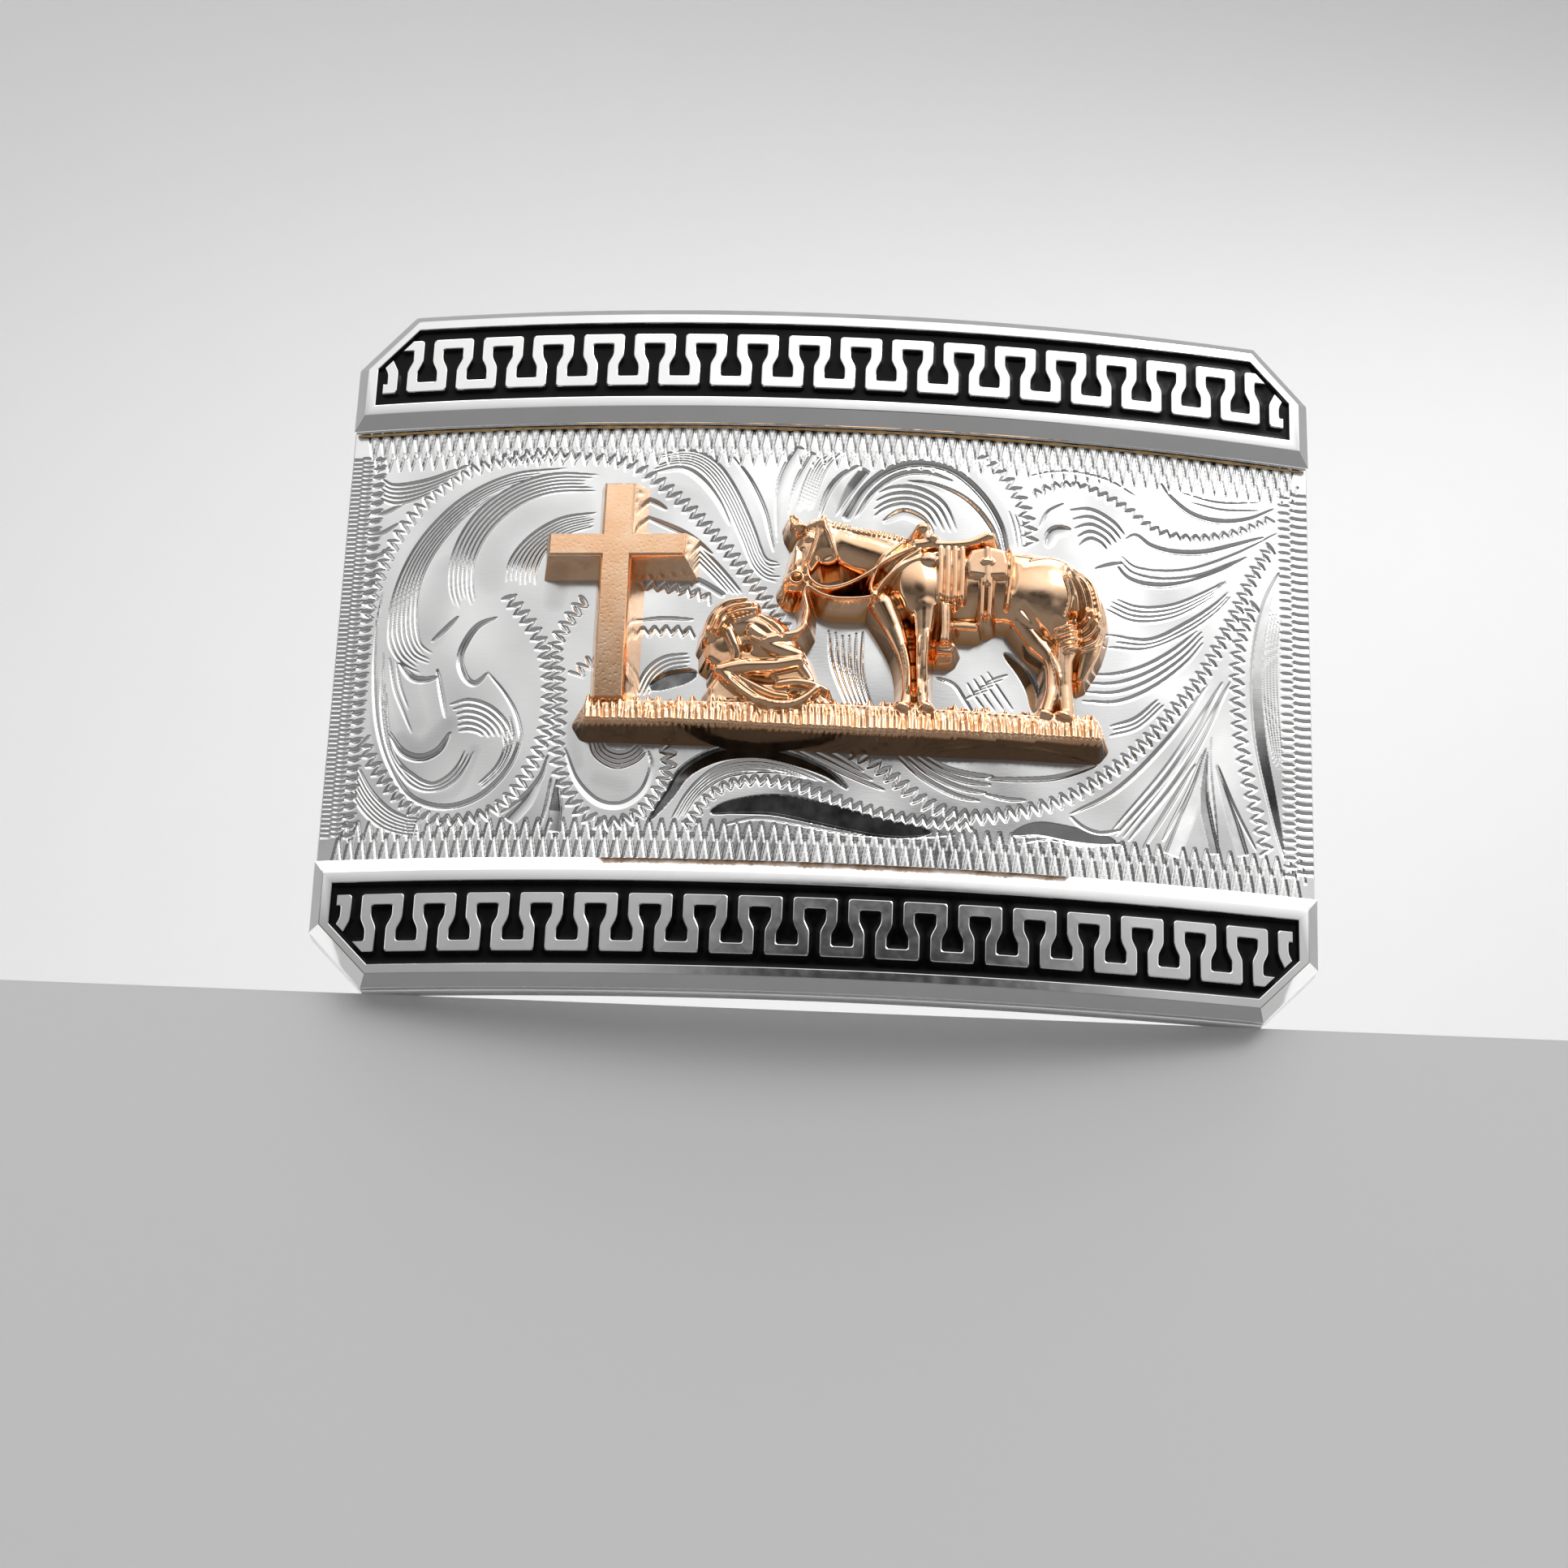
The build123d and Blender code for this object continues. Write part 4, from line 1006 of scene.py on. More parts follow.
    @staticmethod
    def blurred(field, reach):
        """Box average of a field."""
        for axis in (0, 1):
            padded = np.pad(field, [(reach, reach) if axis == k else (0, 0) for k in (0, 1)], mode="edge")
            total = np.cumsum(padded, axis=axis)
            length = field.shape[axis]
            after = np.take(total, range(2 * reach, 2 * reach + length), axis)
            before = np.take(total, range(length), axis)
            field = (after - before) / (2 * reach)
        return field


def carve_ground(relief):
    """The strip of grass that joins the figures, with a smooth wall below its crisp front edge."""
    relief.slab([(-20.9, -7.4), (-21.5, -8.4), (-21.0, -9.2), (-9.0, -9.5), (0.0, -9.75), (12.0, -9.65),
                 (24.4, -9.35), (24.9, -8.7), (24.7, -7.7), (24.1, -7.1), (0, -7.1), (-16.2, -7.2)], 2.2,
                0.15, 4.0)
    tufts = np.random.default_rng(7)
    for arc in np.arange(-20.8, 24.5, 0.58):
        sway, tall, bulge = tufts.uniform(-0.2, 0.2), tufts.uniform(-0.25, 0.35), tufts.uniform(-0.25, 0.25)
        front = -9.05 - 0.4 * math.exp(-(((arc - 3) / 12) ** 2))
        relief.limb([(arc + sway, -6.95 + tall), (arc + sway / 2, -7.7), (arc, front)], (0.2, 0.33, 0.32),
                    (2.0, 2.55 + bulge, 2.85 + 0.4 * bulge), soft=0.04, flat=1.8)
        relief.groove([(arc + 0.1, -7.2), (arc + 0.05, -8.4)], 0.1, 0.12)


def carve_horse_body(relief):
    """Barrel, haunch, shoulder, neck and legs of the standing horse."""
    relief.slab([(4.2, 3.4), (5.6, 8.6), (8.4, 9.2), (14.0, 8.9), (20.4, 7.8), (23.2, 5.4), (24.4, 2.0),
                 (23.2, -1.2), (19.6, 0.4), (16.6, 2.4), (13.4, 1.9), (10.0, 1.6), (7.0, 1.8)], 0.9, 0.5,
                3.5)
    relief.limb([(8.4, 5.0), (12.0, 5.2), (16.0, 5.4), (19.6, 5.0)], (3.7, 3.7, 3.5, 3.9),
                (2.45, 2.5, 2.5, 2.6), 0.5, 0.62)
    relief.mound((19.9, 4.7), (3.4, 3.7), 2.95, -20, 0.6, 1.5)
    relief.mound((8.2, 4.8), (2.1, 3.4), 2.95, 10, 0.45, 1.2)
    relief.limb([(8.6, 6.2), (5.2, 7.4), (2.2, 8.2), (0.2, 8.9)], (3.1, 2.7, 2.2, 1.7),
                (2.2, 2.25, 2.3, 2.4), 0.45, 0.75)
    relief.limb([(5.0, 2.8), (6.2, 0.2), (7.1, -2.6), (7.4, -5.0), (7.3, -6.6)],
                (1.35, 1.05, 0.66, 0.56, 0.62), (2.3, 2.1, 2.05, 2.1, 2.3), 0.3)
    relief.limb([(8.7, 2.6), (8.7, -0.6), (8.6, -3.4), (8.7, -6.0), (8.9, -6.8)],
                (1.5, 1.0, 0.62, 0.55, 0.6), (2.75, 2.6, 2.5, 2.4, 2.5), 0.3)
    relief.mound((7.0, -7.1), (0.85, 0.55), 2.7, -18, 0.15)
    relief.mound((9.1, -7.0), (0.75, 0.5), 2.8, -18, 0.15)
    relief.limb([(17.4, 2.2), (18.9, 0.4), (20.3, -1.6), (20.3, -4.4), (19.9, -6.4)],
                (1.0, 1.2, 0.8, 0.6, 0.7), (1.7, 1.7, 1.75, 1.8, 2.0), 0.3)
    relief.limb([(20.2, 3.0), (21.6, 0.6), (21.4, -1.8), (21.5, -4.6), (21.6, -6.6)],
                (2.4, 1.5, 0.85, 0.64, 0.7), (2.7, 2.45, 2.35, 2.3, 2.4), 0.35)
    relief.mound((19.7, -6.9), (0.85, 0.55), 2.5, -15, 0.15)
    relief.mound((21.4, -7.0), (0.9, 0.55), 2.75, -15, 0.15)
    for bone in ([(8.2, -0.4), (8.1, -3.0), (8.3, -6.0)], [(7.0, -1.0), (7.5, -3.6), (7.5, -5.8)],
                 [(20.2, -0.8), (20.8, -3.4), (20.7, -6.0)], [(9.1, 0.2), (9.0, -3.0), (9.2, -5.8)]):
        relief.ridge(bone, 0.2, 0.3)
    relief.groove([(7.6, 2.0), (7.75, -0.6), (7.9, -3.8), (8.0, -6.0)], 0.25, 0.7)
    relief.groove([(16.3, 8.4), (16.6, 6.0), (16.3, 4.0)], 0.5, 0.18)
    relief.groove([(17.2, 3.4), (18.6, 1.8), (19.8, 0.4)], 0.45, 0.35)
    relief.sink((20.9, 1.0), (0.8, 1.4), 0.3, 20)
    relief.groove([(4.6, 6.4), (5.6, 4.0), (7.0, 2.4)], 0.4, 0.3)


def carve_horse_tail(relief):
    """The full tail that hangs from the rump."""
    relief.limb([(21.6, 7.0), (23.3, 5.2), (24.0, 2.6), (23.6, -0.4), (22.9, -3.0)],
                (0.7, 1.2, 1.35, 1.1, 0.4), (2.2, 2.3, 2.2, 1.9, 1.5), 0.2)
    for start, middle, end in (((21.5, 7.3), (23.8, 5.9), (24.6, 2.2)),
                               ((21.5, 7.1), (23.3, 5.5), (24.0, 1.8)),
                               ((21.5, 6.9), (22.8, 5.2), (23.4, 2.0)),
                               ((21.4, 6.6), (22.2, 4.8), (22.6, 2.6)),
                               ((21.3, 6.3), (21.9, 4.4), (21.5, 2.0))):
        relief.ridge([start, middle, end], 0.26, 0.42, 0.1)
    for start, middle, end in (((24.6, 2.8), (23.6, 0.8), (20.6, -0.2)),
                               ((24.2, 3.0), (22.9, 1.3), (20.1, 0.3)),
                               ((24.7, 2.0), (24.0, 0.1), (21.2, -0.9)),
                               ((23.6, 3.2), (22.3, 1.7), (20.4, 0.9))):
        relief.ridge([start, middle, end], 0.24, 0.55, 0.1)
    relief.groove([(22.2, 3.0), (21.9, 2.2), (22.4, 1.7)], 0.4, 0.6)


def carve_horse_head(relief):
    """The lowered head with its ears, bridle and bit."""
    relief.limb([(-0.7, 9.2), (-1.6, 7.6), (-2.2, 6.2), (-2.9, 4.4)], (1.75, 1.55, 1.2, 0.95),
                (2.7, 2.7, 2.6, 2.5), 0.3, 0.85)
    relief.mound((-0.1, 7.9), (1.5, 1.6), 2.45, 0, 0.3)
    relief.mound((-2.9, 4.3), (1.05, 1.0), 2.65, 0, 0.25, 0.7)
    relief.limb([(-2.7, 9.6), (-3.1, 10.2), (-3.3, 10.6)], (0.66, 0.55, 0.3), (2.6, 2.75, 2.6), 0.15)
    relief.limb([(-0.9, 9.8), (-0.6, 10.4), (-0.5, 10.6)], (0.6, 0.45, 0.3), (2.8, 2.85, 2.7), 0.15)
    relief.sink((-3.1, 10.3), (0.3, 0.6), 0.5, 20)
    relief.sink((-0.9, 10.4), (0.22, 0.4), 0.4)
    relief.mound((-1.75, 8.5), (0.45, 0.36), 2.95, 20, 0.1, 0.3)
    relief.ridge([(-2.3, 8.6), (-1.8, 9.0), (-1.3, 8.8)], 0.13, 0.2)
    relief.ridge([(-2.2, 8.3), (-1.8, 8.15), (-1.35, 8.4)], 0.1, 0.14)
    relief.ridge([(-3.3, 8.6), (-2.9, 7.0), (-3.0, 5.4)], 0.22, 0.22)
    relief.groove([(-2.4, 7.6), (-2.3, 6.4), (-2.5, 5.4)], 0.28, 0.22)
    relief.sink((-0.25, 7.0), (0.9, 0.5), 0.25, 20)
    relief.strap([(-3.1, 9.5), (-2.2, 9.75), (-0.8, 9.95)], 0.17, 0.24)
    relief.strap([(-0.75, 10.1), (-1.15, 8.4), (-1.65, 6.6), (-2.35, 4.9)], 0.15, 0.26)
    relief.strap([(-0.55, 10.1), (0.1, 8.6), (0.6, 7.2), (1.0, 5.9)], 0.15, 0.26)
    relief.sink((-3.6, 3.8), (0.24, 0.3), 0.35, 30)
    for turn in np.linspace(0, 2 * math.pi, 14, endpoint=False):
        bit = [(-2.75 + 0.6 * math.cos(t), 4.5 + 0.55 * math.sin(t)) for t in (turn, turn + 0.45)]
        relief.limb(bit, (0.16, 0.16), (3.0, 3.0), 0.05)
    relief.sink((-2.75, 4.5), (0.42, 0.38), 0.45)


def carve_neck_and_reins(relief):
    """Mane, throat recess, reins and breast straps."""
    relief.sink((2.5, 4.6), (1.9, 1.5), 0.45, 15)
    for i in range(15):
        arc = 0.6 + 0.46 * i
        crest = 10.15 - 0.012 * (arc - 0.5) ** 2 - 0.06 * arc
        relief.ridge([(arc, crest + 0.28), (arc - 0.2, crest - 0.28)], 0.2, 0.3, 0)
    relief.ridge([(0.2, 10.5), (3.5, 10.2), (6.9, 9.3)], 0.3, 0.25)
    relief.groove([(1.6, 9.2), (3.6, 8.9), (5.8, 8.2)], 0.4, 0.16)
    reins = (([(7.6, 8.0), (5.6, 6.9), (3.6, 5.3), (1.5, 4.1), (-0.3, 3.8), (-1.5, 4.5), (-1.9, 5.6)], 0.19,
              2.75),
             ([(4.3, 3.2), (3.0, 2.9), (1.0, 2.8), (-0.4, 3.1), (-1.6, 3.8)], 0.2, 2.7),
             ([(9.6, 7.5), (7.0, 6.4), (5.4, 5.0), (4.2, 3.2)], 0.26, 2.85),
             ([(8.2, 7.8), (6.4, 6.4), (4.6, 4.2)], 0.2, 2.75),
             ([(6.6, 8.4), (4.8, 6.6), (3.9, 4.4), (4.1, 3.2)], 0.2, 2.7))
    for points, radius, top in reins:
        relief.limb(points, (radius, radius), (top, top), 0.06, 1.6)
    relief.mound((4.25, 3.15), (0.36, 0.36), 2.95, 0, 0.05, 0.3)


def carve_saddle(relief):
    """Horn, seat, skirt, saddle bag, fenders, straps and stirrup."""
    relief.limb([(8.0, 8.4), (9.6, 8.7)], (0.75, 0.6), (2.7, 2.8), 0.15)
    relief.mound((8.4, 10.0), (0.7, 0.55), 2.9, 15, 0.1, 0.5)
    relief.limb([(8.6, 9.9), (8.9, 9.0)], (0.42, 0.5), (2.7, 2.8), 0.1)
    relief.mound((9.4, 9.0), (0.42, 0.4), 3.0, 0, 0.08, 0.35)
    relief.limb([(9.8, 8.4), (11.2, 8.5), (12.8, 8.8), (14.2, 9.5)], (0.5, 0.42, 0.42, 0.55),
                (2.9, 2.9, 2.9, 2.95), 0.12)
    relief.mound((14.4, 9.5), (0.55, 0.45), 3.0, 0, 0.08, 0.35)
    relief.slab([(12.5, 5.5), (12.3, 6.9), (12.7, 8.0), (14.4, 8.5), (15.9, 8.2), (16.2, 6.9), (16.1, 5.6),
                 (14.3, 5.4)], 2.95, 0.35, 5)
    relief.limb([(16.3, 8.4), (16.4, 6.2), (16.1, 3.0)], (0.16, 0.16), (2.8, 2.75), 0.05)
    relief.limb([(14.2, 8.2), (14.25, 6.6), (14.25, 5.0)], (0.3, 0.3), (3.15, 3.1), 0.04, 1.4)
    relief.limb([(13.95, 6.9), (14.55, 6.9)], (0.2, 0.2), (3.3, 3.3), 0.03)
    for arc in (13.85, 14.55):
        relief.limb([(arc, 5.4), (arc, 3.6), (arc - 0.05, 1.9)], (0.24, 0.22), (2.85, 2.75), 0.05)
    for arc, foot in ((10.05, 3.2), (10.7, 2.9), (11.35, 2.8), (12.0, 3.2)):
        relief.limb([(arc, 8.0), (arc + 0.06, 5.5), (arc, foot)], (0.3, 0.27), (2.95, 2.95), 0.05)
    relief.groove([(9.8, 3.3), (10.8, 2.9), (12.1, 3.2)], 0.25, 0.5)
    relief.limb([(10.35, 2.7), (10.45, 0.8), (10.4, -0.7)], (0.24, 0.24), (2.9, 2.8), 0.05)
    relief.limb([(10.8, 2.7), (10.85, 0.8), (10.8, -0.7)], (0.2, 0.2), (2.8, 2.7), 0.05)
    relief.slab([(9.7, -1.0), (9.9, -0.3), (11.2, -0.2), (11.7, -0.8), (11.3, -1.7), (10.0, -1.7)], 1.7,
                0.25)
    relief.slab([(11.3, 0.9), (11.3, 1.6), (13.6, 1.6), (13.6, 0.9)], 1.5, 0.15)
    relief.mound((9.0, 6.9), (0.75, 0.7), 3.05, 0, 0.08, 0.3)


def carve_kneeling_figure(relief):
    """A figure kneeling with its head bowed, hat brim forward, the rein in its raised hand."""
    relief.slab([(-10.0, -7.4), (-10.2, -5.8), (-9.2, -4.0), (-10.6, -3.1), (-10.7, -0.6), (-9.5, 1.5),
                 (-7.0, 2.5), (-5.0, 1.2), (-3.4, -0.7), (-1.6, -2.4), (-0.6, -5.2), (1.4, -7.4)], 1.9, 0.6,
                4.0)
    relief.limb([(-10.2, -0.9), (-9.5, 0.9), (-8.2, 1.8), (-6.4, 2.0)], (0.6, 0.85, 0.85, 0.5),
                (2.3, 2.6, 2.6, 2.3), 0.2)
    relief.limb([(-10.1, -0.6), (-9.5, 0.8), (-8.3, 1.7), (-6.7, 1.9)], (0.22, 0.22), (2.85, 2.85), 0.03)
    relief.limb([(-9.5, -0.7), (-8.9, 0.5), (-7.8, 1.2), (-6.2, 1.4)], (0.22, 0.22), (2.95, 2.95), 0.03)
    relief.limb([(-10.7, -1.4), (-10.3, 0.6), (-9.0, 2.1), (-7.2, 2.5)], (0.2, 0.2), (2.5, 2.6), 0.03)
    relief.mound((-9.0, -1.3), (1.2, 1.3), 2.0, 20, 0.3, 0.7)
    relief.limb([(-9.9, -1.6), (-9.5, -2.9), (-9.9, -3.4)], (0.5, 0.45, 0.3), (1.8, 1.8, 1.6), 0.15)
    relief.limb([(-8.2, 0.1), (-6.6, 0.3), (-4.8, -0.5), (-3.3, -2.0)], (0.9, 1.35, 1.6, 1.2),
                (2.45, 2.7, 2.65, 2.45), 0.3)
    relief.mound((-5.6, -1.6), (1.9, 1.2), 2.35, -30, 0.4)
    relief.limb([(-8.6, -0.5), (-7.8, -2.4), (-7.9, -3.4)], (0.5, 0.45, 0.4), (2.6, 2.5, 2.2), 0.15)
    relief.limb([(-6.6, -0.5), (-5.2, -1.6), (-3.8, -2.2), (-2.3, -2.6)], (0.5, 0.75, 0.8, 0.6),
                (2.9, 2.8, 2.7, 2.5), 0.2)
    relief.limb([(-5.4, -1.5), (-3.9, -1.1), (-2.5, -0.7), (-1.8, 0.2)], (0.42, 0.36, 0.36, 0.3),
                (2.95, 2.95, 2.9, 2.7), 0.1)
    relief.limb([(-1.9, 0.2), (-1.7, 1.6), (-2.0, 3.2), (-1.7, 4.2)], (0.3, 0.24, 0.24, 0.2),
                (2.7, 2.6, 2.6, 2.6), 0.06)
    relief.limb([(-9.3, -4.3), (-7.2, -3.9), (-4.6, -3.7), (-2.3, -3.2)], (0.55, 0.75, 0.7, 0.6),
                (2.7, 2.9, 2.8, 2.6), 0.15)
    relief.limb([(-9.0, -4.4), (-8.0, -5.4), (-6.4, -6.6), (-4.6, -7.6)], (0.5, 0.5, 0.5, 0.45),
                (2.7, 2.8, 2.7, 2.6), 0.1)
    relief.limb([(-7.9, -4.6), (-6.2, -5.6), (-4.6, -6.4), (-3.2, -6.6)], (0.3, 0.32, 0.32, 0.3),
                (2.3, 2.4, 2.5, 2.4), 0.08)
    relief.limb([(-6.8, -6.3), (-4.9, -7.3), (-3.0, -7.4), (-1.7, -6.8), (-0.6, -5.8)],
                (0.4, 0.45, 0.4, 0.35, 0.3), (2.5, 2.8, 2.8, 2.7, 2.6), 0.08)
    relief.limb([(-4.0, -5.4), (-2.4, -5.2), (-0.6, -5.5), (0.3, -5.9)], (0.36, 0.36, 0.3, 0.25),
                (2.4, 2.5, 2.6, 2.4), 0.08)
    relief.limb([(-2.2, -3.3), (-1.4, -4.4), (-0.9, -5.4)], (0.45, 0.4, 0.3), (2.3, 2.3, 2.3), 0.1)
    relief.sink((-5.4, -4.9), (1.5, 0.45), 0.5, -8)
    relief.sink((-2.6, -6.2), (0.6, 0.35), 0.4, 10)
    relief.sink((-6.9, -2.0), (0.5, 0.4), 0.5, -30)
    for i in range(6):
        relief.mound((-8.1 + 0.36 * i, 0.35 + 0.12 * i), (0.17, 0.17), 2.95, 0, 0.02, 0.2)
    for fold in ([(-6.2, 0.9), (-5.2, 0.3), (-4.4, -0.6)], [(-5.0, 0.4), (-4.2, -0.5), (-3.6, -1.4)],
                 [(-6.9, -3.5), (-5.4, -3.3), (-4.0, -3.3)], [(-8.3, -4.9), (-7.0, -6.0), (-5.6, -6.9)],
                 [(-7.2, -0.2), (-6.4, -1.0), (-5.2, -1.4)]):
        relief.groove(fold, 0.2, 0.28)
    for brim in ([(-9.9, 0.4), (-8.7, 1.75), (-7.2, 2.2)], [(-9.2, 0.2), (-8.2, 1.3), (-6.9, 1.7)]):
        relief.groove(brim, 0.16, 0.3)


def make_castings():
    """Horse, kneeling figure and ground as one relief."""
    relief = Relief((-23.4, -11.8), (26.8, 12.6))
    carve_horse_body(relief)
    carve_horse_tail(relief)
    carve_neck_and_reins(relief)
    carve_horse_head(relief)
    carve_saddle(relief)
    carve_kneeling_figure(relief)
    carve_ground(relief)
    relief.soften(2)
    points, faces, painted_shade = relief.solid()
    return make_piece("horse_and_kneeling_figure", on_face(points), faces, rose_gold(), "rose_gold",
                      ["figure_group"], sharp=0, painted_shade=painted_shade)


# ---------------------------------------------------------------- hinge, bail, hook and rivets
HINGE_X, HINGE_Y = (value / MM for value in frame["joints"][0]["pos_m"][:2])
HOOK_PAD_RADIUS = 4.5
HOOK_BRAZE_GAP = 0.2
HOOK_TIP_CHAMFER = 0.5
HINGE_BASE_CORNER = 2.0
HINGE_BORE = 1.55
BAIL_SLOT = 42.0
BAIL_REACH = 15.0
BAIL_BEND = 4.5
BAIL_END_GAP = 4.0  # from the middle of the tube to each wire end
BAIL_REST_ANGLE = math.radians(15)
RIVET_SPOTS = {"cross_rivets": [(-18.75, 7.6), (-18.75, -4.5)],
               "figure_rivets": [(14.0, 5.0), (-6.5, -4.5), (17.0, -9.0)]}


def block_on_back(outline, top_y, edge, bulge):
    """A pad brazed to the plate's back, its outline given as (x, z), its outer edge rounded."""
    outline = np.array(outline, float)
    centre = outline.mean(0)
    rings = []
    for share, drop in ((1.0, None), (1.0, edge), (1 - 0.3 * edge / 5, 0.3 * edge), (1 - edge / 5, 0.0)):
        ring = centre + (outline - centre) * share
        rings.append([(x, back_y(x) - 0.3 if drop is None else top_y - drop, z) for x, z in ring])
    for share in (0.7, 0.35):
        ring = centre + (outline - centre) * share
        rings.append([(x, top_y + bulge * (1 - share), z) for x, z in ring])
    count = len(outline)
    points = MM * np.array(rings).reshape(-1, 3)
    faces = ring_faces(len(rings), count).tolist()
    faces += [list(range(count))[::-1], list(range(len(points) - count, len(points)))]
    return points, faces


def rounded_rectangle(x, z, width, length, radius):
    """Outline of a rounded rectangle, counter-clockwise."""
    points = []
    for corner in range(4):
        cx = x + (width / 2 - radius) * (1, -1, -1, 1)[corner]
        cz = z + (length / 2 - radius) * (1, 1, -1, -1)[corner]
        for turn in np.linspace(0, math.pi / 2, 9):
            a = corner * math.pi / 2 + turn
            points.append((cx + radius * math.cos(a), cz + radius * math.sin(a)))
    return points


def tube_along(line, radius, sides=36, radii=None):
    """A round bar along a line of points in millimetres, its ends closed."""
    line = np.array(line, float)
    along = np.gradient(line, axis=0)
    along /= np.linalg.norm(along, axis=1)[:, None]
    flat = np.cross(line[2] - line[0], line[len(line) // 2] - line[0])
    flat = np.array([0, 0, 1.0]) if np.linalg.norm(flat) < 1e-6 else flat / np.linalg.norm(flat)
    radii = np.full(len(line), radius) if radii is None else np.asarray(radii)
    turn = np.linspace(0, 2 * math.pi, sides, endpoint=False)
    side = np.cross(along, flat)
    side /= np.linalg.norm(side, axis=1)[:, None]
    up = np.cross(side, along)
    points = line[:, None] + radii[:, None, None] * (
        np.cos(turn)[None, :, None] * side[:, None] + np.sin(turn)[None, :, None] * up[:, None])
    faces = ring_faces(len(line), sides).tolist()
    faces += [list(range(sides))[::-1], list(range((len(line) - 1) * sides, len(line) * sides))]
    return MM * points.reshape(-1, 3), faces


def bail_line():
    """Middle line of the bail's wire: two short ends in the tube, two arms and the cross bar."""
    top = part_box("bail")[1].z / MM
    wire = (top - BAIL_SLOT / 2) / 2
    arm = top - wire
    half = [(0, BAIL_END_GAP), (0, arm), (BAIL_REACH, arm)]
    corners = half + [(r, -z) for r, z in reversed(half)]
    line = [np.array(corners[0], float)]
    for a, b, c in zip(corners, corners[1:], corners[2:]):
        a, b, c = (np.array(p, float) for p in (a, b, c))
        into, away = (a - b) / np.linalg.norm(a - b), (c - b) / np.linalg.norm(c - b)
        centre = b + BAIL_BEND * (into + away)
        start, finish = b + BAIL_BEND * into - centre, b + BAIL_BEND * away - centre
        for t in np.linspace(0, math.pi / 2, 15):
            line.append(centre + start * math.cos(t) + finish * math.sin(t))
    line.append(np.array(corners[-1], float))
    dense = []
    for a, b in zip(line, line[1:]):
        steps = max(1, int(np.linalg.norm(b - a) / 2.0))
        dense += [a + (b - a) * i / steps for i in range(steps)]
    dense.append(line[-1])
    cos, sin = math.cos(BAIL_REST_ANGLE), math.sin(BAIL_REST_ANGLE)
    return [(HINGE_X + r * cos, HINGE_Y + r * sin, z) for r, z in dense], wire


def make_hinge(silver, braze):
    """Cradle, tube and the wire bail that turns in it."""
    low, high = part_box("hinge_base")
    pad = rounded_rectangle(HINGE_X, 0, (high.x - low.x) / MM, (high.z - low.z) / MM, HINGE_BASE_CORNER)
    make_piece("hinge_cradle", *block_on_back(pad, high.y / MM, 0.5, 0.05), silver, "back_silver",
               ["hinge_base"])
    tube_low, tube_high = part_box("hinge_tube")
    tube_half = tube_high.z / MM
    outer = (tube_high.x - tube_low.x) / MM / 2
    end = [(HINGE_BORE, tube_half - 0.25), (HINGE_BORE + 0.15, tube_half - 0.05),
           (HINGE_BORE + 0.3, tube_half),
           (outer - 0.3, tube_half), (outer - 0.08, tube_half - 0.08), (outer, tube_half - 0.3)]
    profile = [(r, -z) for r, z in end] + [(outer, 0)] + end[::-1] + [(HINGE_BORE, 0)]
    points, faces = revolve(profile, 64)
    last = (len(profile) - 1) * 64
    closing = [[last + i, last + (i + 1) % 64, (i + 1) % 64, i] for i in range(64)]
    points = MM * (points + (HINGE_X, HINGE_Y, 0))
    make_piece("hinge_knuckle", points, faces.tolist() + closing, silver, "back_silver", ["hinge_tube"],
               sharp=50)
    line, wire = bail_line()
    radii = np.full(len(line), wire)
    radii[[0, -1]] -= 0.3
    make_piece("wire_bail", *tube_along(line, wire, 40, radii), steel_wire(), "steel_wire", ["bail"],
               body="bail", sharp=50)
    for sign in (-1, 1):
        bead = []
        for z in np.linspace(-tube_half + 2.2, tube_half - 2.2, 60):
            wobble = 0.08 * math.sin(z * 2.7 + sign) + 0.05 * math.sin(z * 6.1)
            bead.append((HINGE_X + sign * (outer * 0.98), high.y / MM + 0.02 + wobble * 0.4, z))
        side = "left" if sign < 0 else "right"
        make_piece(f"hinge_braze_{side}", *tube_along(bead, 0.34, 12), braze, "rivet_brass")


